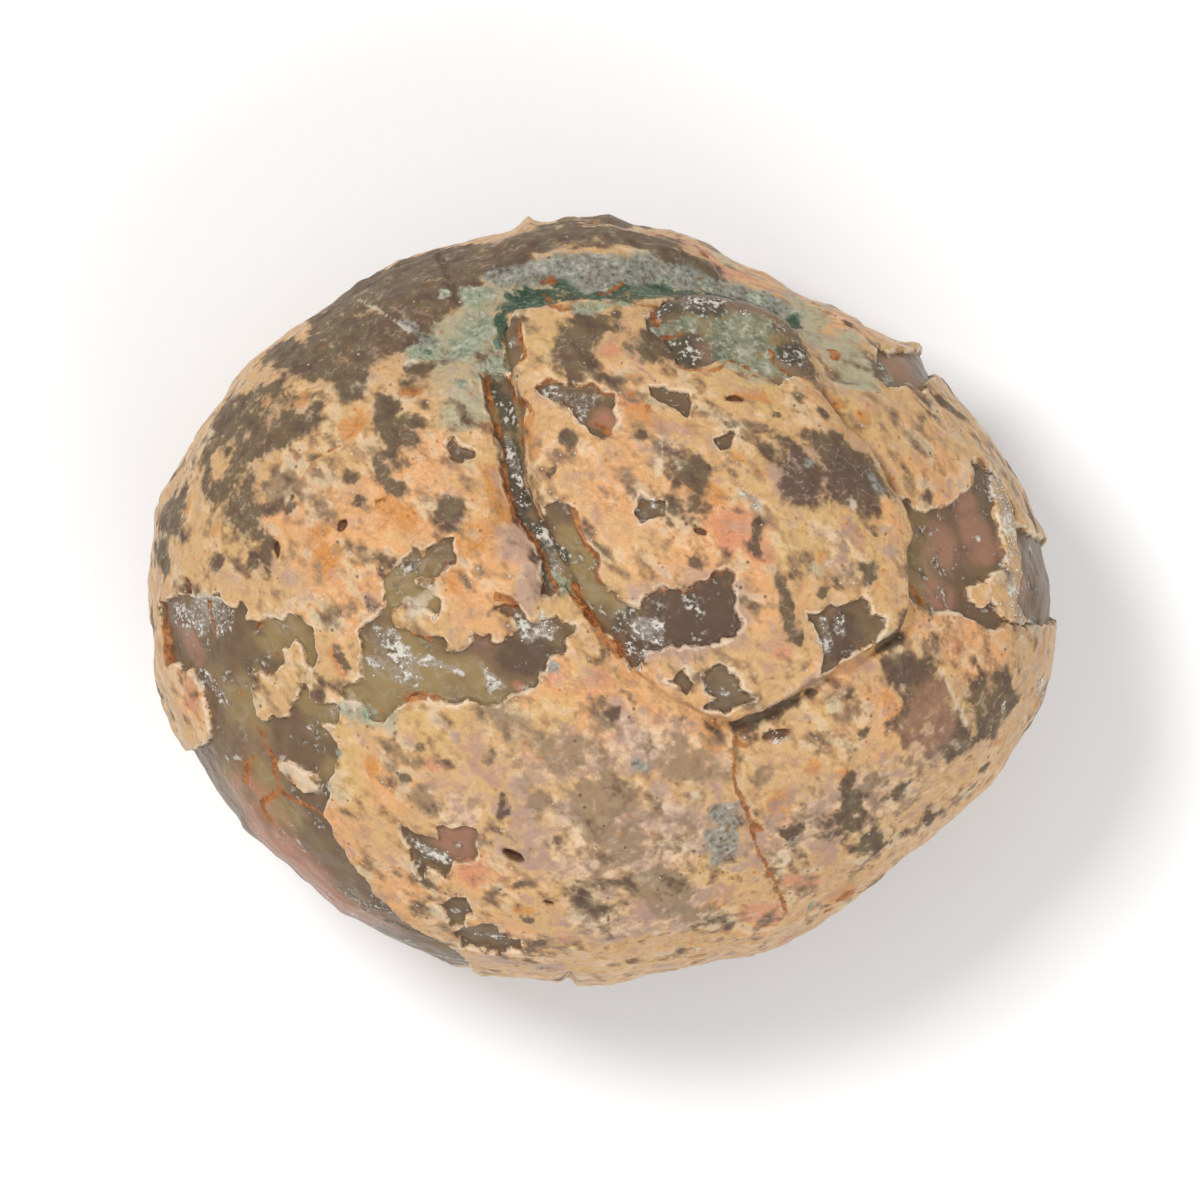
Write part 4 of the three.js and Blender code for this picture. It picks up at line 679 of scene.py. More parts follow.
LOBE_CORNERS = np.reshape(LOBE, (-1, 2)).astype(float)
LOBE_MAP = unroll(LOBE)
WINDOW_MAPS = {name: unroll(outline) for name, outline in WINDOWS.items()}
FLAKE_MAPS = {name: unroll(outline) for name, outline in FLAKES.items()}
LINE_MAPS = {name: (unroll(line[2:]), line[0], line[1]) for name, line in SUNK_LINES.items()}


# ---- The stone's surface, in millimetres ----


class Stone:
    """The stone's surface as a function of direction from its middle."""

    def __init__(self, form):
        self.crown = form.height / MM
        self.widest = form.widest_at / MM
        self.skin = form.skin / MM
        self.step = form.lobe_step / MM

    def body(self, bearing, polar):
        """The smooth form, before any relief."""
        upper = polar <= math.pi / 2.0
        exponent = np.where(upper, 2.0 / CROWN_POWER, 2.0 / UNDERSIDE_POWER)
        rise = np.where(upper, self.crown - self.widest, self.widest + SUNK)
        near = bell(np.degrees(polar - math.pi / 2.0) / RIM_BAND)
        radius = mix(look_up(SMOOTH_RADII, bearing), look_up(RADII, bearing), near)
        out = radius * signed_power(np.sin(polar), exponent)
        height = self.widest + rise * signed_power(np.cos(polar), exponent)
        return np.column_stack((out * np.cos(bearing), out * np.sin(bearing), height))

    def body_normal(self, bearing, polar):
        """Outward direction of the smooth form, from two short steps along it."""
        tilt = np.clip(polar, 2.0 * NORMAL_STEP, math.pi - 2.0 * NORMAL_STEP)
        east = self.body(bearing + NORMAL_STEP, tilt) - self.body(bearing - NORMAL_STEP, tilt)
        down = self.body(bearing, tilt + NORMAL_STEP) - self.body(bearing, tilt - NORMAL_STEP)
        normal = np.cross(down, east)
        return normal / np.linalg.norm(normal, axis=1, keepdims=True)

    def upper_relief(self, at, stretch, ragged):
        """Relief of the side that outlines draw: height, the skin's cover, distance to detail, and pits."""
        lobe = -distance_to(LOBE_MAP, at + LOBE_RAGGED * ragged, True) / stretch
        shoulder = np.clip(lobe / LOBE_SHOULDER, 0.0, 1.0)
        rounded = np.sqrt(1.0 - (1.0 - shoulder) ** 2)
        height = self.step * (0.5 * smooth(lobe / LOBE_WALL + 0.5) + 0.5 * rounded)

        place = at + ragged
        window = np.min([distance_to(m, place, True) for m in WINDOW_MAPS.values()], axis=0)
        flake = np.min([distance_to(m, place, True) for m in FLAKE_MAPS.values()], axis=0)
        cover = np.maximum(window, -flake) / stretch
        height -= self.skin * smooth(0.5 - cover / CHIP_WALL)

        detail = np.minimum(np.abs(lobe), np.abs(cover))
        for line, half_width, depth in LINE_MAPS.values():
            away = distance_to(line, at + LINE_RAGGED * ragged, False) / stretch
            height -= depth * bell(away / half_width)
            detail = np.minimum(detail, np.maximum(away - half_width, 0.0) + LINE_DETAIL * half_width)
        pit = pits_at(at + LINE_RAGGED * ragged)
        detail = np.where(pit > PIT_TRACE, 0.0, detail)
        return height - pit + swells_at(SWELLS, at), cover, detail, pit

    def underside_relief(self, bearing, polar, point):
        """Relief of the hidden side: swells of its own, and chips where a noise is high."""
        swells = swells_at(UNDERSIDE_SWELLS, map_place(bearing, math.pi - polar))
        chip = (noise2(point, CHIP_SCALE) - CHIPPED_ABOVE) * CHIP_SCALE * CHIP_SLOPE
        cover = -chip + CHIP_FRAYED * noise2(point, CHIP_FRAYED_SIZE)
        return swells - self.skin * smooth(0.5 - cover / HIDDEN_CHIP_WALL), cover, np.abs(cover)

    def surface(self, directions):
        """Points on the surface, with the skin's cover, the distance to detail and the depth of pits."""
        bearing = np.arctan2(directions[:, 1], directions[:, 0])
        polar = np.arccos(np.clip(directions[:, 2], -1.0, 1.0))
        point = self.body(bearing, polar)
        normal = self.body_normal(bearing, polar)
        angle = np.minimum(polar, MAP_END)
        ragged = np.column_stack([
            RAGGED * noise2(point + shift, RAGGED_SIZE) + FRAYED * noise(point / FRAYED_SIZE + shift)
            for shift in (11.0, 37.0)
        ])
        waver = np.column_stack([noise2(point + shift, SIDE_WAVER_SIZE) for shift in (51.0, 83.0)])
        ragged += smooth((polar - SIDE_FROM) / SIDE_FADE)[:, None] * SIDE_WAVER * waver
        upper = self.upper_relief(map_place(bearing, angle), map_stretch(angle), ragged)
        under = self.underside_relief(bearing, polar, point)
        start = UNDERSIDE_FROM + UNDERSIDE_WAVER * noise2(point, UNDERSIDE_WAVER_SIZE)
        below = smooth((polar - start) / UNDERSIDE_FADE)
        height = mix(upper[0], under[0], below)
        cover = mix(upper[1], under[1], below)
        detail = np.where(below < 0.5, upper[2], under[2] + 1.0)
        height += SWELL * noise2(point, SWELL_SIZE) + RIPPLE * noise2(point, RIPPLE_SIZE)
        rough = mix(GLASS_LUMPS, 1.0, smooth(cover + 0.5))
        wrinkle = bell(noise2(point, WRINKLE_SIZE) / WRINKLE_WIDTH)
        height += rough * (LUMP * noise2(point, LUMP_SIZE) - WRINKLE * wrinkle)
        return point + normal * height[:, None], cover, detail, upper[3] * (1.0 - below)


def swells_at(swells, at):
    """Height of the broad swells at each map place."""
    total = np.zeros(len(at))
    for x, y, radius, height in swells:
        away = at - unroll((x, y))
        total += height * bell(np.hypot(away[:, 0], away[:, 1]) / radius)
    return total


def pits_at(at):
    """Depth of the pits at each map place."""
    depth = np.zeros(len(at))
    for x, y, half_length, half_width, turn, deep in PITS:
        away = at - unroll((x, y))
        c, s = math.cos(math.radians(turn)), math.sin(math.radians(turn))
        along = (away[:, 0] * c + away[:, 1] * s) / half_length
        across = (away[:, 1] * c - away[:, 0] * s) / half_width
        out = np.hypot(along, across)
        depth = np.maximum(depth, deep * (1.0 - smooth((out - PIT_FLOOR) / PIT_WALL)))
    return depth


def mark_reach(half_width):
    """How far from a stroke its strength can still be felt."""
    return 3.0 * half_width + 3.0


def marked(directions, point):
    """How strongly each kind of mark covers each point; over a half it is likely to show."""
    bearing = np.arctan2(directions[:, 1], directions[:, 0])
    polar = np.arccos(np.clip(directions[:, 2], -1.0, 1.0))
    angle = np.minimum(polar, MAP_END)
    at, stretch = map_place(bearing, angle), map_stretch(angle)
    below = smooth((polar - MARKS_END) / MARKS_FADE)
    wander = np.column_stack([
        noise2(point + shift, WANDER_SIZE) + FINE_WANDER * noise2(point + shift, FINE_WANDER_SIZE)
        for shift in (5, 17)
    ])
    fields = {}
    for number, kind in enumerate(STROKES):
        strength = np.zeros(len(at))
        for half_width, *route in STROKES[kind]:
            place = at + min(STROKE_WANDER_SHARE * half_width, STROKE_WANDER) * wander
            away = distance_to(unroll(route), place, False, mark_reach(half_width)) / stretch
            fading = smooth((away / half_width - STROKE_FULL) / STROKE_FADE)
            strength = np.maximum(strength, 1.0 - fading)
        for outline in PATCHES.get(kind, ()):
            away = distance_to(unroll(outline), at + PATCH_WANDER * wander, True) / stretch
            strength = np.maximum(strength, smooth(PATCH_EDGE - away / PATCH_FADE))
        if kind in RARE:
            strength = RARE_GAIN * strength - RARE_CUT
        own = point + KINDS_APART * (number + 1)
        patchy = smooth(HIDDEN_GAIN * noise2(own, HIDDEN_SIZE) + HIDDEN_LEVEL)
        strength = mix(strength, HIDDEN_SHARE.get(kind, 0.5) * patchy, below)
        uneven = BROAD * noise2(own, BROAD_SIZE) + FINE * noise2(own, FINE_SIZE)
        fields[kind] = strength + UNEVEN.get(kind, 1.0) * uneven
    edge = np.zeros(len(at))
    for half_width, *route in RUSTY_EDGES:
        away = distance_to(unroll(route), at, False, mark_reach(half_width)) / stretch
        edge = np.maximum(edge, 1.0 - smooth((away / half_width - EDGE_FULL) / EDGE_FADE))
    fields["rusty_edge"] = mix(edge, smooth(2.0 * noise2(point + 3.0, HIDDEN_RUST_SIZE)), below)
    fields["frost"] = np.where(point[:, 2] < FROST_FROM, -1.0, fields["frost"])
    return fields


# ---- The mesh: an icosahedron split until every side is as short as its place asks for ----

# Columns of what each vertex carries: its place in the first three, then these
COVER, DETAIL, PIT = 3, 4, 5


def icosahedron():
    """The twelve corners of an icosahedron as directions, and its twenty triangles, facing out."""
    golden = (1.0 + math.sqrt(5.0)) / 2.0
    pairs = [(a, b * golden) for a in (-1.0, 1.0) for b in (-1.0, 1.0)]
    corners = [(0.0, a, b) for a, b in pairs]
    corners += [(a, b, 0.0) for a, b in pairs]
    corners += [(b, 0.0, a) for a, b in pairs]
    directions = np.array(corners) / math.hypot(1.0, golden)
    side = 2.0 / math.hypot(1.0, golden)
    near = np.abs(np.linalg.norm(directions[:, None] - directions[None], axis=2) - side) < 1e-6
    triangles = []
    for a in range(12):
        for b in range(a + 1, 12):
            for c in range(b + 1, 12):
                if near[a, b] and near[b, c] and near[a, c]:
                    out = np.dot(np.cross(directions[a], directions[b]), directions[c]) > 0.0
                    triangles.append((a, b, c) if out else (a, c, b))
    return directions, np.array(triangles)


def longest_first(points, triangles):
    """Turns each triangle so that its first side is its longest."""
    corners = points[triangles]
    sides = np.linalg.norm(np.roll(corners, -1, axis=1) - corners, axis=2)
    first = sides.argmax(axis=1)
    turn = (first[:, None] + np.arange(3)) % 3
    return np.take_along_axis(triangles, turn, axis=1)


def refine(stone, directions, data, triangles, fine, coarse, growth):
    """One round: splits each side that is too long, and the longest side of each triangle it touches."""
    points, detail = data[:, :3], data[:, DETAIL]
    triangles = longest_first(points, triangles)
    ends = np.stack((triangles, np.roll(triangles, -1, axis=1)), axis=2).reshape(-1, 2)
    ends, which = np.unique(np.sort(ends, axis=1), axis=0, return_inverse=True)
    which = which.reshape(-1, 3)
    long = np.linalg.norm(points[ends[:, 0]] - points[ends[:, 1]], axis=1)
    low = points[ends].mean(axis=1)[:, 2] < HIDDEN_BELOW * stone.widest
    limit = np.where(low, HIDDEN_COARSER * coarse, coarse)
    wanted = np.minimum(fine + growth * detail[ends].min(axis=1), limit)
    split = long > wanted
    while True:
        touched = split[which].any(axis=1) & ~split[which[:, 0]]
        if not touched.any():
            break
        split[which[touched, 0]] = True
    middle = np.full(len(ends), -1)
    middle[split] = len(directions) + np.arange(split.sum())
    made = directions[ends[split, 0]] + directions[ends[split, 1]]
    made /= np.linalg.norm(made, axis=1, keepdims=True)
    directions = np.vstack((directions, made))
    data = np.vstack((data, surface_data(stone, made)))
    return directions, data, cut_up(triangles, middle[which])


def cut_up(triangles, middles):
    """The triangles cut at the middles of their split sides; a middle below 0 is a side left whole."""
    a, b, c = triangles.T
    ab, bc, ca = middles.T
    split = ab >= 0
    parts = [triangles[~split]]
    whole = split & (bc < 0)
    parts.append(np.column_stack((ab, b, c))[whole])
    cut = split & (bc >= 0)
    parts += [np.column_stack((ab, b, bc))[cut], np.column_stack((ab, bc, c))[cut]]
    whole = split & (ca < 0)
    parts.append(np.column_stack((a, ab, c))[whole])
    cut = split & (ca >= 0)
    parts += [np.column_stack((a, ab, ca))[cut], np.column_stack((ca, ab, c))[cut]]
    return np.vstack(parts)


def surface_data(stone, directions):
    """What each vertex carries, one row for each direction."""
    point, cover, detail, pit = stone.surface(directions)
    return np.column_stack((point, cover, detail, pit))


def stone_mesh(form):
    """The stone's mesh in metres, filling the frame's box, with what its finish reads on each vertex."""
    stone = Stone(form)
    directions, triangles = icosahedron()
    data = surface_data(stone, directions)
    for _ in range(ROUNDS):
        directions, data, triangles = refine(
            stone, directions, data, triangles, form.fine / MM, form.coarse / MM, form.growth
        )
    points = data[:, :3]
    points[:, 2] = np.maximum(points[:, 2], 0.0)
    fields = marked(directions, points)
    fields["cover"] = data[:, COVER]
    fields["pit"] = np.clip(data[:, PIT], 0.0, 1.0)
    low, high = (np.array(corner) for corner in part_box(NODE))
    own_low, own_high = points.min(axis=0), points.max(axis=0)
    scale = (high - low) / (own_high - own_low)
    vertices = low + (points - own_low) * scale
    return mesh_of(NODE + "_skin", vertices, triangles, fields)


def mesh_of(name, vertices, triangles, fields):
    """A smooth mesh with one float attribute for each field."""
    mesh = bpy.data.meshes.new(name)
    mesh.from_pydata(vertices.tolist(), [], triangles.tolist())
    mesh.polygons.foreach_set("use_smooth", np.ones(len(triangles), bool))
    for kind, values in fields.items():
        attribute = mesh.attributes.new(kind, "FLOAT", "POINT")
        attribute.data.foreach_set("value", values.astype(np.float32))
    mesh.update()
    return mesh


# ---- Nodes ----

MIX_SHARE, MIX_FIRST, MIX_SECOND, MIX_RESULT = 0, 6, 7, 2  # numbers of a Mix node's colour sockets
NOISE_GAIN = 7.0  # brings the middle part of a noise node to about -1 to 1
STREAKS = (0.0, 0.0, -0.75)  # turn of the streaks that the skin's colours are drawn out along


class Value:
    """A socket of a node tree; sums written with it add the Math nodes that they need."""

    def __init__(self, tree, socket):
        self.tree = tree
        self.socket = socket

    def __add__(self, other):
        return self.tree.math("ADD", self, other)

    def __radd__(self, other):
        return self.tree.math("ADD", other, self)

    def __sub__(self, other):
        return self.tree.math("SUBTRACT", self, other)

    def __rsub__(self, other):
        return self.tree.math("SUBTRACT", other, self)

    def __mul__(self, other):
        return self.tree.math("MULTIPLY", self, other)

    def __rmul__(self, other):
        return self.tree.math("MULTIPLY", other, self)

    def __truediv__(self, other):
        return self.tree.math("DIVIDE", self, other)

    def near(self, reach):
        """1 where this is nothing, falling to 0 at this far above or below it."""
        return self.tree.node("ShaderNodeMath", {"operation": "ABSOLUTE"}, {0: self}).ramp(reach, 0.0)

    def most(self, other):
        """The larger of the two."""
        return self.tree.math("MAXIMUM", self, other)

    def ramp(self, low, high):
        """0 below low to 1 above high, smoothly; the other way round where low is the larger."""
        settings = {"interpolation_type": "SMOOTHSTEP", "clamp": True}
        return self.tree.node("ShaderNodeMapRange", settings, {0: self, 1: low, 2: high, 3: 0.0, 4: 1.0})


class Tree:
    """Adds nodes to one node tree."""

    def __init__(self, tree):
        self.tree = tree
        tree.nodes.clear()

    def node(self, kind, settings=None, inputs=None, output=0):
        """A new node with these settings. An input that is a Value is linked, any other is set."""
        made = self.tree.nodes.new(kind)
        for name, value in (settings or {}).items():
            setattr(made, name, value)
        for key, value in (inputs or {}).items():
            if isinstance(value, Value):
                self.tree.links.new(value.socket, made.inputs[key])
            else:
                made.inputs[key].default_value = value
        return Value(self, made.outputs[output]) if len(made.outputs) else None

    def math(self, operation, a, b):
        return self.node("ShaderNodeMath", {"operation": operation}, {0: a, 1: b})

    def colour(self, share, a, b):
        """Colour a, turning to colour b as share goes from 0 to 1."""
        inputs = {MIX_SHARE: share, MIX_FIRST: a, MIX_SECOND: b}
        return self.node("ShaderNodeMix", {"data_type": "RGBA"}, inputs, MIX_RESULT)


class Finish(Tree):
    """The nodes of one material."""

    def __init__(self, name):
        self.material = bpy.data.materials.new(name)
        self.material.use_nodes = True
        super().__init__(self.material.node_tree)
        self.place = self.node("ShaderNodeTexCoord", output="Object")

    def field(self, name):
        """What the mesh's attribute of this name says."""
        return self.node("ShaderNodeAttribute", {"attribute_name": name}, output="Fac")

    def noise(self, size, detail=2.0, roughness=0.5, warp=0.0, seed=0.0, drawn=1.0):
        """Noise from about -1 to 1 with lumps of this size in metres, drawn out along the streaks."""
        place = self.shifted(seed)
        if drawn != 1.0:
            turned = {"Vector": place, "Rotation": STREAKS, "Scale": (drawn, 1.0, 1.0)}
            place = self.node("ShaderNodeMapping", {"vector_type": "TEXTURE"}, turned)
        inputs = {
            "Vector": place,
            "Scale": 1.0 / size,
            "Detail": detail,
            "Roughness": roughness,
            "Distortion": warp,
        }
        return (self.node("ShaderNodeTexNoise", None, inputs) - 0.5) * NOISE_GAIN

    def shifted(self, seed):
        """Object coordinates moved by this many metres along each axis."""
        return self.node("ShaderNodeVectorMath", {"operation": "ADD"}, {0: self.place, 1: (seed,) * 3})

    def cells(self, size, seed=0.0):
        """Distance to the nearest of points scattered about this far apart, as a share of that."""
        place = self.shifted(seed)
        return self.node("ShaderNodeTexVoronoi", None, {"Vector": place, "Scale": 1.0 / size})

    def shader(self, **inputs):
        """Ends the material with a Principled shader; an underscore in a name stands for a space."""
        named = {key.replace("_", " "): value for key, value in inputs.items()}
        surface = self.node("ShaderNodeBsdfPrincipled", None, named)
        self.node("ShaderNodeOutputMaterial", None, {"Surface": surface})
        return self.material


# ---- Finishes ----

# Sizes of the noises that the finishes are mixed from, in metres
CLOUD, BLOTCH, MOTTLE, FLECK, GRIT = 0.0046, 0.0019, 0.0013, 0.0006, 0.0003
VEIN, THREAD, DOT_SPACING, DENT, GRAIN_TONE = 0.0044, 0.0021, 0.0016, 0.0028, 0.0008
BUMP_DEPTH = 0.0004


class StoneFinish(Finish):
    """The stone's material, with the marks and the noises that its colours are mixed from."""

    def __init__(self):
        super().__init__("agate_nodule_finish")
        self.mark = {kind: self.field(kind) for kind in STROKES}
        self.cover = self.field("cover")
        self.busy = self.mark["busy"]
        self.cloud = self.noise(CLOUD, 2.5, 0.5, seed=0.1, drawn=1.8)
        self.blotch = self.noise(BLOTCH, 2.0, 0.5, seed=0.2, drawn=1.5)
        self.mottle = self.noise(MOTTLE, 2.0, 0.6, seed=1.3)
        self.fleck = self.noise(FLECK, 2.0, 0.5, seed=0.3)
        self.veins = self.noise(VEIN, 2.0, 0.5, 0.3, seed=0.9).near(0.3)

    def shown(self, kind, soft, clouds=0.0, blotches=0.0, flecks=0.0, busier=0.0):
        """Where a mark shows: its strength, broken up by noise and cut at a half with this softness."""
        total = self.mark[kind]
        parts = (self.cloud, self.blotch, self.fleck, self.busy)
        for part, share in zip(parts, (clouds, blotches, flecks, busier)):
            if share:
                total = total + part * share
        return total.ramp(0.5 - soft, 0.5 + soft)


def skin_colour(f, look):
    """The skin below its dark mottles: cream and peach clouds, with warmer and greyer ones over them."""
    mark, busy, cloud, blotch, mottle = f.mark, f.busy, f.cloud, f.blotch, f.mottle
    skin = f.colour(f.shown("peach", 0.6, 0.3, 0.2), look.cream, look.peach)
    skin = f.colour(f.shown("yellow", 0.4, -0.3, 0.2) * 0.8, skin, look.yellow)
    skin = f.colour((cloud * 0.6 - blotch * 0.6).ramp(0.0, 0.9) * 0.65, skin, look.tan)
    skin = f.colour((blotch * 0.7 + cloud * 0.4).ramp(0.1, 0.8) * 0.6, skin, look.milk)
    skin = f.colour(f.shown("amber", 0.35, -0.3, 0.3, 0.08, 0.15) * 0.8, skin, look.amber)
    hairs = cloud.near(0.09) * (blotch * 0.4 + mark["amber"]).ramp(0.3, 0.7)
    skin = f.colour(hairs * 0.7, skin, look.rust)
    skin = f.colour(f.shown("blush", 0.4, 0.1, -0.3) * 0.8, skin, look.blush)
    skin = f.colour(f.shown("sage", 0.4, 0.3, 0.2) * 0.85, skin, look.sage)
    grit = f.noise(GRIT, 1.0, 0.5, seed=1.7)
    skin = f.colour((mottle + grit * 0.3).ramp(0.5, 1.7) * 0.5, skin, look.tan)
    skin = f.colour(grit.ramp(0.3, 1.8) * 0.2, skin, look.tan)
    skin = f.colour(grit.ramp(-0.3, -1.8) * 0.2, skin, look.lip)
    skin = f.colour(f.shown("lilac", 0.5, -0.3, 0.3, 0.08, 0.25) * 0.8, skin, look.lilac)
    skin = f.colour((busy + mottle * 0.5 - cloud * 0.3).ramp(0.6, 1.5) * 0.7, skin, look.lilac)
    skin = f.colour((busy - mottle * 0.5 + cloud * 0.3).ramp(0.6, 1.8) * 0.45, skin, look.lip)
    haze = mark["haze"] + busy * 0.15 + cloud * 0.35 - blotch * 0.4 + mottle * 0.25
    return f.colour(haze.ramp(0.0, 1.0) * 0.85, skin, look.haze)


def mottles_shown(f):
    """Where the skin's dark mottles, and the shadow painted under the lobe's fold, show."""
    dusk_and_shadow = f.mark["dusk_and_shadow"] * (1.1 - f.busy * 0.3) + f.cloud * 0.3
    dusk_and_shadow = dusk_and_shadow - f.blotch * 0.28 - f.fleck * 0.1 - f.veins * 0.22
    return dusk_and_shadow.ramp(0.1, 0.85)


def mottle_colour(f, look):
    """Dark mottles, and the shadow painted under the lobe's fold: brown to reddish, crossed by pale
    threads.
    """
    mark, blotch, fleck = f.mark, f.blotch, f.fleck
    shade = f.colour((fleck * 0.5 - blotch + mark["lilac"] * 2.0).ramp(-0.6, 1.2), look.dusk_and_shadow, look.umber)
    shade = f.colour((mark["ruddy"] + f.mottle * 0.2).ramp(0.2, 0.9) * 0.75, shade, look.ruddy)
    thin = (f.veins * 0.5 + fleck * 0.5 - f.cloud * 0.3).ramp(0.2, 1.2)
    shade = f.colour(thin * 0.4, shade, look.lilac)
    threads = f.noise(THREAD, 2.0, 0.5, 0.4, seed=2.1).near(0.12) * (blotch + fleck * 0.5).ramp(-0.2, 0.6)
    return f.colour(threads * 0.5, shade, look.ribbon)


def speckled(f, look, skin):
    """The skin with its blue-grey stain, its small dark dots and small white painted highlights."""
    cloud, blotch = f.cloud, f.blotch
    slate = f.colour((f.fleck * 0.6 + f.mottle * 0.4).ramp(-1.3, 0.3), look.dusk_and_shadow, look.slate)
    skin = f.colour(f.shown("slate", 0.5, 0.2, 0.3, 0.12) * 0.85, skin, slate)
    cells = f.cells(DOT_SPACING, seed=0.7)
    dots = cells.ramp(0.2, 0.09) * (blotch + f.busy * 0.4).ramp(-0.2, 0.3)
    skin = f.colour(dots * 0.75, skin, f.colour(cloud.ramp(-0.3, 0.3), look.rust, look.umber))
    # Small white dots where the skin is lighter: painted highlights that stand in for sparkle.
    painted_glints = cells.ramp(0.13, 0.07) * (cloud - blotch).ramp(0.3, 0.8)
    return f.colour(painted_glints * 0.5, skin, look.frost)


def agate_colour(f, look):
    """Bared agate: olive, brown and reddish, with pale veins, rust and frosted dark spots."""
    mark, cloud, blotch = f.mark, f.cloud, f.blotch
    glass = f.colour(f.shown("olive", 0.5, 0.3), look.agate, look.olive)
    glass = f.colour(f.shown("ruddy", 0.5, -0.3), glass, look.ruddy)
    brown = (blotch * 0.5 - cloud * 0.5 - mark["ruddy"] * 0.4).ramp(-0.5, 0.9)
    glass = f.colour(brown * 0.4, glass, look.umber)
    glass = f.colour((mark["lilac"] + blotch * 0.2).ramp(0.2, 0.8) * 0.8, glass, look.umber)
    glass = f.colour(f.veins * (mark["olive"] - 0.2) * 0.2, glass, look.ribbon)
    glass = f.colour((mark["amber"] + blotch * 0.4).ramp(0.6, 1.2) * 0.6, glass, look.rust)
    glass = f.colour((mark["blush"] + blotch * 0.3).ramp(0.4, 1.4) * 0.5, glass, look.blush)
    dark = f.shown("dusk_and_shadow", 0.4, 0.0, 0.4, 0.1)
    glass = f.colour(dark * 0.85, glass, look.smoke)
    specks = (f.fleck * 0.7 + blotch * 0.4).ramp(0.3, 1.1)
    return f.colour(dark * specks * 0.7, glass, look.frost)


def stone_finish(look):
    """Porcelain-like skin over glassy agate, with the stains, rust, frost and pits marked on the mesh,
    painted shade in the pits and under the lobe's fold, and painted highlights.
    """
    f = StoneFinish()
    cover, cloud, blotch, fleck, mottle = f.cover, f.cloud, f.blotch, f.fleck, f.mottle
    # Dark mottles, with the shadow painted under the lobe's fold among them.
    dusk_and_shadow = mottles_shown(f)
    skin = f.colour(dusk_and_shadow * 0.92, skin_colour(f, look), mottle_colour(f, look))
    bared = (cover + fleck * 0.1 + mottle * 0.12).ramp(0.07, -0.07)
    base = f.colour(bared, speckled(f, look, skin), agate_colour(f, look))
    lip = cover.ramp(0.5, 0.15) * cover.ramp(-0.12, 0.08)
    base = f.colour(lip * (fleck * 0.5 + blotch).ramp(-0.8, 0.3) * 0.75, base, look.lip)
    # The pale marks: whitish skin, and also two glare spots on the lobe that are painted highlights.
    base = f.colour(f.shown("pale", 0.45, 0.0, 0.3, 0.12) * 0.6, base, look.pale)

    mint = f.shown("mint", 0.5, 0.15, 0.35, 0.2)
    crust = f.colour((fleck * 0.5 + mottle * 0.4 + cloud * 0.4).ramp(-1.3, 0.7), look.verdigris, look.mint)
    base = f.colour(mint * (0.85 - bared * 0.2), base, crust)
    stained = mint.most(f.mark["slate"].ramp(0.3, 0.8))
    base = f.colour(stained * (mottle * 0.8 + fleck * 0.5).ramp(0.1, 1.6) * 0.4, base, look.frost)
    copper = f.colour((cloud + fleck).ramp(0.0, 1.5), look.green, look.verdigris)
    base = f.colour(f.shown("green", 0.35, 0.15, 0.4, 0.25) * 0.9, base, copper)

    frost = f.shown("frost", 0.5, 0.1, 0.4, 0.15)
    base = f.colour(frost * (cloud * 0.5 + fleck * 0.5).ramp(-1.0, 0.7) * 0.75, base, look.ribbon)
    base = f.colour(frost * (blotch * 0.7 + fleck * 0.8).ramp(0.2, 1.1) * 0.85, base, look.frost)
    edge_rust = f.field("rusty_edge") * cover.near(0.4) * (blotch + fleck * 0.3).ramp(-0.3, 0.4)
    rust = f.shown("rust", 0.4, -0.1, 0.4, 0.15)
    rusty = f.colour((fleck * 0.6 + mottle * 0.6).ramp(-0.9, 1.0), look.deep_rust, look.rust)
    base = f.colour(rust.most(edge_rust) * 0.85, base, rusty)
    # The floor of each pit turns dark rust-brown, darker the deeper it is: painted shade in the hollow over
    # a rusty tone.
    base = f.colour(f.field("pit").ramp(0.1, 0.75) * 0.85, base, look.pit)

    roughness = 0.38 - bared * 0.05 + dusk_and_shadow * 0.2 + frost * 0.3 + stained * 0.3 + rust * 0.3
    relief = f.noise(DENT, 2.0, 0.45, seed=0.5) * 0.55 * (1.0 - bared * 0.6)
    relief = relief + fleck * (0.02 + frost * 0.25 + stained * 0.15 + rust * 0.15)
    bump = f.node("ShaderNodeBump", None, {"Strength": 1.0, "Distance": BUMP_DEPTH, "Height": relief})
    return f.shader(Base_Color=base, Roughness=roughness, Normal=bump, Specular_IOR_Level=0.18)


def grain_finish(look):
    """Milky quartz."""
    f = Finish("quartz_grain_finish")
    tone = f.noise(GRAIN_TONE, 2.0, seed=0.3).ramp(0.35, 0.65)
    quartz = f.colour(tone, look.frost, look.ribbon)
    return f.shader(Base_Color=quartz, Roughness=0.3 + tone * 0.2, IOR=1.54)


def floor_finish(look):
    """Plain pale paint."""
    f = Finish("floor_finish")
    return f.shader(Base_Color=look.floor, Roughness=0.9)


# ---- Pieces ----


def add_piece(name, mesh, material):
    """A finished piece at the origin that rides on the frame's one body."""
    piece = bpy.data.objects.new(name, mesh)
    bpy.context.scene.collection.objects.link(piece)
    mesh.materials.clear()
    mesh.materials.append(material)
    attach(piece, "root")
    return piece


GRAIN_INPUTS = ("Density", "Grain size")  # the names of the node tree's settings
THIN_FROST, THICK_FROST = 0.45, 0.95  # strength of frost where grains start, and where they are densest
FULL_TURN = 6.28
SLIMMEST_GRAIN, STOUTEST_GRAIN = (0.35, 0.35, 0.35), (1.0, 1.0, 1.3)  # shares of the grain size


def map_range(tree, value, low, high):
    """0 below low to 1 above high, in a straight line."""
    return tree.node("ShaderNodeMapRange", {"clamp": True}, {0: value, 1: low, 2: high, 3: 0.0, 4: 1.0})


def random_vector(tree, low, high, seed):
    """A vector between these two, another one for each place."""
    settings = {"data_type": "FLOAT_VECTOR"}
    return tree.node("FunctionNodeRandomValue", settings, {0: low, 1: high, "Seed": seed})


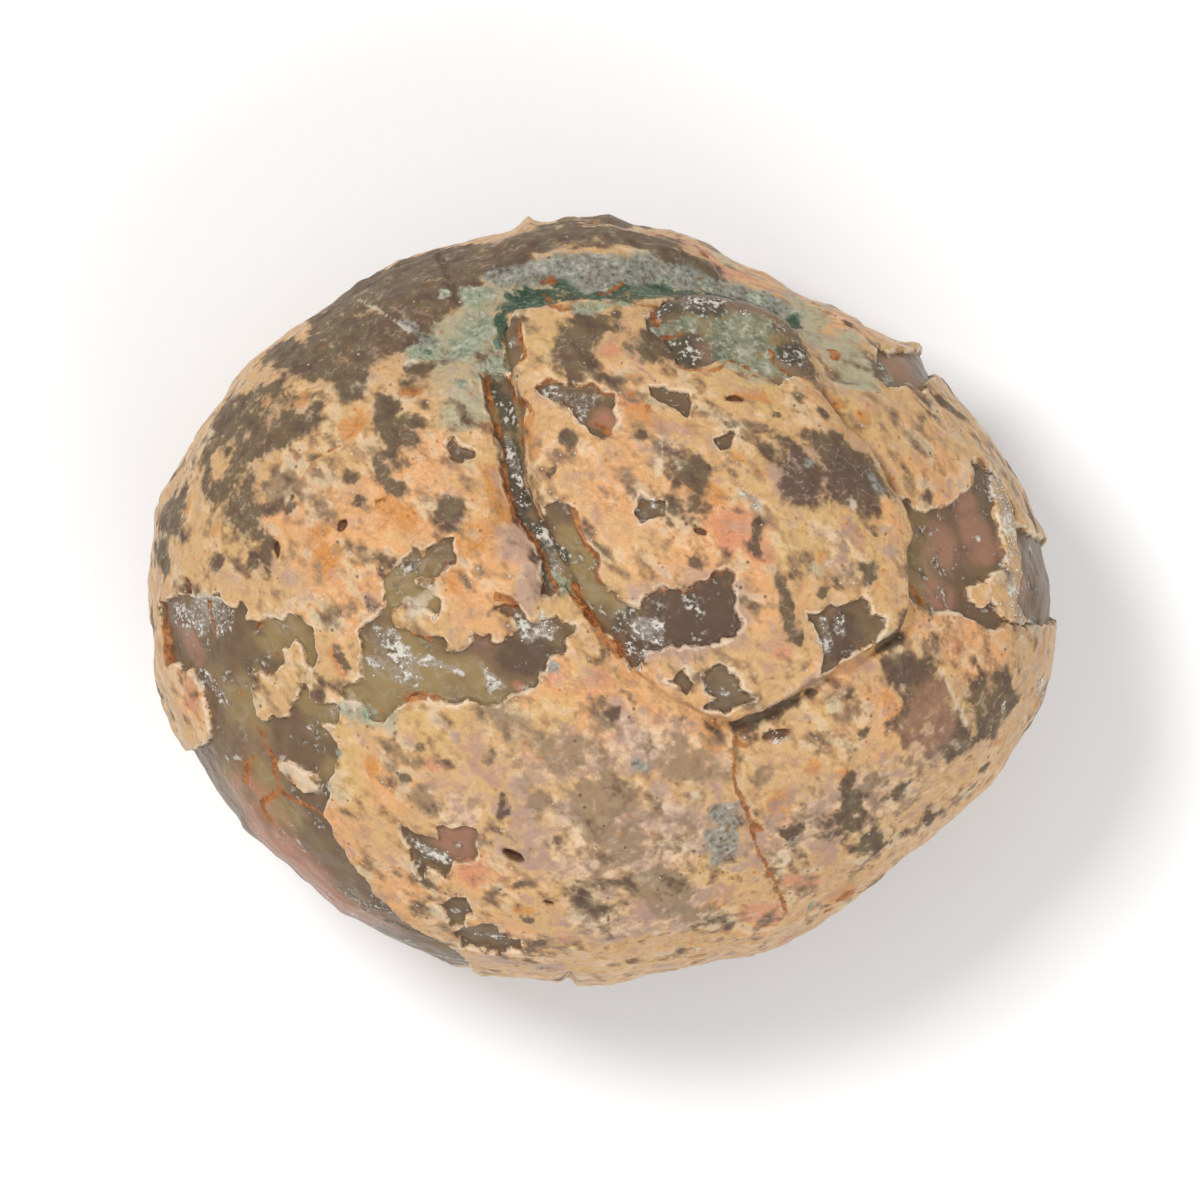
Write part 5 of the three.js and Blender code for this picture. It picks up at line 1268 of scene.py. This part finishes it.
def grain_nodes(seed, material):
    """Scatters small crystals where the mesh's frost is thick."""
    group = bpy.data.node_groups.new("quartz_grains", "GeometryNodeTree")
    face = group.interface
    face.new_socket("Geometry", in_out="INPUT", socket_type="NodeSocketGeometry")
    for name in GRAIN_INPUTS:
        face.new_socket(name, in_out="INPUT", socket_type="NodeSocketFloat")
    face.new_socket("Geometry", in_out="OUTPUT", socket_type="NodeSocketGeometry")
    g = Tree(group)
    given = g.node("NodeGroupInput")
    density, size = (Value(g, given.socket.node.outputs[name]) for name in GRAIN_INPUTS)
    frost = g.node("GeometryNodeInputNamedAttribute", {"data_type": "FLOAT"}, {"Name": "frost"})
    thick = map_range(g, frost, THIN_FROST, THICK_FROST)
    scatter = {"Mesh": given, "Density": density * thick, "Seed": seed}
    points = g.node("GeometryNodeDistributePointsOnFaces", None, scatter)
    grain = g.node("GeometryNodeMeshIcoSphere", None, {"Radius": size, "Subdivisions": 1})
    spin = random_vector(g, (0.0, 0.0, 0.0), (FULL_TURN, FULL_TURN, FULL_TURN), seed + 1)
    shape = random_vector(g, SLIMMEST_GRAIN, STOUTEST_GRAIN, seed + 2)
    laid = {"Points": points, "Instance": grain, "Rotation": spin, "Scale": shape}
    placed = g.node("GeometryNodeInstanceOnPoints", None, laid)
    solid = g.node("GeometryNodeRealizeInstances", None, {"Geometry": placed})
    coated = g.node("GeometryNodeSetMaterial", None, {"Geometry": solid, "Material": material})
    g.node("NodeGroupOutput", None, {"Geometry": coated})
    return group


def grow_grains(form, material):
    """A mesh of the grains that the node tree scatters over a copy of the stone."""
    host = bpy.data.objects.new("grain_host", bpy.data.objects[STONE_PIECE].data.copy())
    bpy.context.scene.collection.objects.link(host)
    modifier = host.modifiers.new("quartz_grains", "NODES")
    modifier.node_group = grain_nodes(form.seed, material)
    values = dict(zip(GRAIN_INPUTS, (form.grain_density, form.grain_size)))
    for socket in modifier.node_group.interface.items_tree:
        if socket.name in values:
            modifier[socket.identifier] = values[socket.name]
    shown = host.evaluated_get(bpy.context.evaluated_depsgraph_get())
    mesh = bpy.data.meshes.new_from_object(shown)
    mesh.name = "quartz_grains"
    host.modifiers.remove(modifier)
    host_mesh = host.data
    bpy.data.objects.remove(host)
    bpy.data.meshes.remove(host_mesh)
    return mesh


# ---- Stage ----

# Where the middle of each light hangs, and how wide the light is, in metres
KEY_PLACE, KEY_SIDE = (-0.45, 0.35, 1.15), 0.3
FILL_PLACE, FILL_SIDE = (0.45, -0.8, 0.95), 0.8
SENSOR_WIDTH = 36.0  # millimetres
SIGHT = 10.0  # how far the camera sees, in metres


def add_floor(stage, look):
    """A plain square floor that the stone lies on."""
    side = stage.floor_size / 2.0
    corners = [(-side, -side, 0.0), (side, -side, 0.0), (side, side, 0.0), (-side, side, 0.0)]
    mesh = bpy.data.meshes.new("floor")
    mesh.from_pydata(corners, [], [(0, 1, 2, 3)])
    mesh.materials.append(floor_finish(look))
    floor = bpy.data.objects.new("floor", mesh)
    bpy.context.scene.collection.objects.link(floor)


def add_light(name, place, size, power):
    """A soft square light that faces the stone."""
    lamp = bpy.data.lights.new(name, "AREA")
    lamp.shape = "SQUARE"
    lamp.size = size
    lamp.energy = power
    light = bpy.data.objects.new(name, lamp)
    light.location = place
    x, y, z = place
    light.rotation_euler = (math.atan2(math.hypot(x, y), z), 0.0, math.atan2(x, -y))
    bpy.context.scene.collection.objects.link(light)


def add_room_light(stage):
    """Even white light from all around."""
    world = bpy.data.worlds.new("room")
    world.use_nodes = True
    w = Tree(world.node_tree)
    white = (1.0, 1.0, 1.0, 1.0)
    room = w.node("ShaderNodeBackground", None, {"Color": white, "Strength": stage.room_light})
    w.node("ShaderNodeOutputWorld", None, {"Surface": room})
    bpy.context.scene.world = world


def add_camera(stage):
    """A long lens straight above the stone, with +Y up in its view."""
    data = bpy.data.cameras.new("camera")
    data.sensor_width = SENSOR_WIDTH
    distance = stage.camera_height - stage.sharp_height
    data.lens = data.sensor_width * distance / stage.view_width
    data.clip_end = SIGHT
    camera = bpy.data.objects.new("camera", data)
    camera.location = (stage.aim[0], stage.aim[1], stage.camera_height)
    bpy.context.scene.collection.objects.link(camera)
    bpy.context.scene.camera = camera


# ---- Settings ----


def length(name, text, value):
    """A setting in metres."""
    return FloatProperty(name=name, description=text, default=value, unit="LENGTH", precision=5)


def tint(name, text, value):
    """A setting that is a colour."""
    return FloatVectorProperty(
        name=name, description=text, default=(*value, 1.0), size=4, subtype="COLOR", min=0.0, max=1.0
    )


class AgateForm(bpy.types.PropertyGroup):
    """Sizes of the stone and of its grains."""

    height: length("Height", "From the flat spot to the crown, without the lobe", 67.0 * MM)
    widest_at: length("Widest at", "Height of the widest section", 30.0 * MM)
    skin: length("Skin", "Thickness of the skin at a chipped edge", 0.95 * MM)
    lobe_step: length("Lobe step", "How far the lobe stands above its surroundings", 2.7 * MM)
    fine: length("Fine", "Longest mesh side on a ledge", 0.5 * MM)
    coarse: length("Coarse", "Longest mesh side on plain skin", 1.0 * MM)
    growth: FloatProperty(name="Growth", description="How fast mesh sides grow off a ledge", default=0.6)
    grain_size: length("Grain size", "Radius of the largest crystal grains", 0.15 * MM)
    grain_density: FloatProperty(
        name="Grain density", description="Grains on a square metre of thick frost", default=1.2e6
    )
    seed: IntProperty(name="Seed", description="Seed of the grains' places", default=4)


class AgateLook(bpy.types.PropertyGroup):
    """Colours of the stone and of the floor."""

    cream: tint("Cream", "Plain skin", (0.6, 0.37, 0.167))
    peach: tint("Peach", "Warm skin", (0.69, 0.35, 0.15))
    yellow: tint("Yellow", "Yellow skin", (0.6, 0.39, 0.16))
    tan: tint("Tan", "Browner skin", (0.42, 0.23, 0.092))
    milk: tint("Milk", "Thick milky skin", (0.77, 0.55, 0.34))
    lip: tint("Lip", "Broken edge of the skin", (0.8, 0.62, 0.44))
    amber: tint("Amber", "Orange clouds in the skin", (0.56, 0.225, 0.05))
    blush: tint("Blush", "Pink skin", (0.6, 0.24, 0.13))
    haze: tint("Haze", "Cloudy olive-brown depth in the skin", (0.275, 0.185, 0.112))
    lilac: tint("Lilac", "Thin greyish skin", (0.4, 0.265, 0.21))
    # Also the colour of the shadow painted under the lobe's fold.
    dusk_and_shadow: tint("Dusk", "Dark mottles", (0.122, 0.09, 0.05))
    umber: tint("Umber", "Warmer dark mottles", (0.098, 0.059, 0.041))
    slate: tint("Slate", "Blue-grey stain", (0.27, 0.272, 0.24))
    sage: tint("Sage", "Pale greenish skin", (0.37, 0.36, 0.24))
    agate: tint("Agate", "Bared agate", (0.17, 0.11, 0.062))
    olive: tint("Olive", "Greenish agate", (0.275, 0.19, 0.085))
    ruddy: tint("Ruddy", "Reddish agate", (0.32, 0.165, 0.105))
    smoke: tint("Smoke", "Dark grey agate", (0.07, 0.062, 0.042))
    ribbon: tint("Ribbon", "Pale veins and thin frost", (0.4, 0.355, 0.31))
    # Also the colour of two painted highlights on the lobe.
    pale: tint("Pale", "Whitish skin", (0.66, 0.55, 0.42))
    frost: tint("Frost", "White crystals", (0.74, 0.69, 0.6))
    green: tint("Green", "Dark copper stain", (0.025, 0.06, 0.037))
    verdigris: tint("Verdigris", "Middling copper stain", (0.095, 0.155, 0.103))
    mint: tint("Mint", "Pale copper stain", (0.35, 0.375, 0.265))
    rust: tint("Rust", "Rust", (0.47, 0.17, 0.04))
    deep_rust: tint("Deep rust", "Dark rust", (0.22, 0.065, 0.02))
    # Dark rust-brown painted into the pits as shade.
    pit: tint("Pit", "Floor of a pit", (0.15, 0.065, 0.04))
    floor: tint("Floor", "Pale floor", (0.95, 0.95, 0.95))


class AgateStage(bpy.types.PropertyGroup):
    """The floor, the lights and the camera."""

    floor_size: length("Floor size", "Side of the floor", 6.0)
    view_width: length("View width", "Width of what the camera takes in at the stone's widest", 0.15)
    camera_height: length("Camera height", "Height of the camera above the floor", 1.8)
    aim: FloatVectorProperty(
        name="Aim",
        description="Place on the floor right below the camera",
        default=(-0.3 * MM, 0.0),
        size=2,
        unit="LENGTH",
    )
    sharp_height: length("Measured at", "Height at which the view width is measured", 0.03)
    room_light: FloatProperty(name="Room light", description="Strength of the even light", default=0.6)
    key_light: FloatProperty(name="Key light", description="Power of the key light", default=8.0)
    fill_light: FloatProperty(name="Fill light", description="Power of the fill light", default=5.0)


# ---- Operators and panel ----


class AGATE_OT_nodule(bpy.types.Operator):
    """Build the stone with its skin, windows, lobe and stains"""

    bl_idname = "agate.nodule"
    bl_label = "Nodule"

    def execute(self, context):
        scene = context.scene
        piece = add_piece(STONE_PIECE, stone_mesh(scene.agate_form), stone_finish(scene.agate_look))
        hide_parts(NODE)
        return {"FINISHED"}


class AGATE_OT_grains(bpy.types.Operator):
    """Scatter the crystal grains over the stone's frosted places"""

    bl_idname = "agate.grains"
    bl_label = "Quartz grains"

    def execute(self, context):
        material = grain_finish(context.scene.agate_look)
        add_piece("quartz_grains", grow_grains(context.scene.agate_form, material), material)
        return {"FINISHED"}


class AGATE_OT_stage(bpy.types.Operator):
    """Lay the floor, hang the lights and set the camera"""

    bl_idname = "agate.stage"
    bl_label = "Stage"

    def execute(self, context):
        scene = context.scene
        stage = scene.agate_stage
        add_floor(stage, scene.agate_look)
        add_room_light(stage)
        add_light("key_light", KEY_PLACE, KEY_SIDE, stage.key_light)
        add_light("fill_light", FILL_PLACE, FILL_SIDE, stage.fill_light)
        add_camera(stage)
        scene.view_settings.view_transform = "Standard"
        return {"FINISHED"}


class AGATE_PT_panel(bpy.types.Panel):
    """Lists the pieces and their settings"""

    bl_idname = "AGATE_PT_panel"
    bl_label = "Agate nodule"
    bl_space_type = "VIEW_3D"
    bl_region_type = "UI"
    bl_category = "Agate"

    def draw(self, context):
        for operator in OPERATORS:
            self.layout.operator(operator.bl_idname)
        for group in (context.scene.agate_form, context.scene.agate_look, context.scene.agate_stage):
            for name in group.__annotations__:
                self.layout.prop(group, name)


GROUPS = {"agate_form": AgateForm, "agate_look": AgateLook, "agate_stage": AgateStage}
OPERATORS = (AGATE_OT_nodule, AGATE_OT_grains, AGATE_OT_stage)


def register():
    for name, group in GROUPS.items():
        bpy.utils.register_class(group)
        setattr(bpy.types.Scene, name, PointerProperty(type=group))
    for operator in OPERATORS:
        bpy.utils.register_class(operator)
    bpy.utils.register_class(AGATE_PT_panel)


def unregister():
    bpy.utils.unregister_class(AGATE_PT_panel)
    for operator in reversed(OPERATORS):
        bpy.utils.unregister_class(operator)
    for name, group in GROUPS.items():
        delattr(bpy.types.Scene, name)
        bpy.utils.unregister_class(group)


def main():
    register()
    bpy.ops.agate.nodule()
    bpy.ops.agate.grains()
    bpy.ops.agate.stage()


if __name__ == "__main__":
    main()
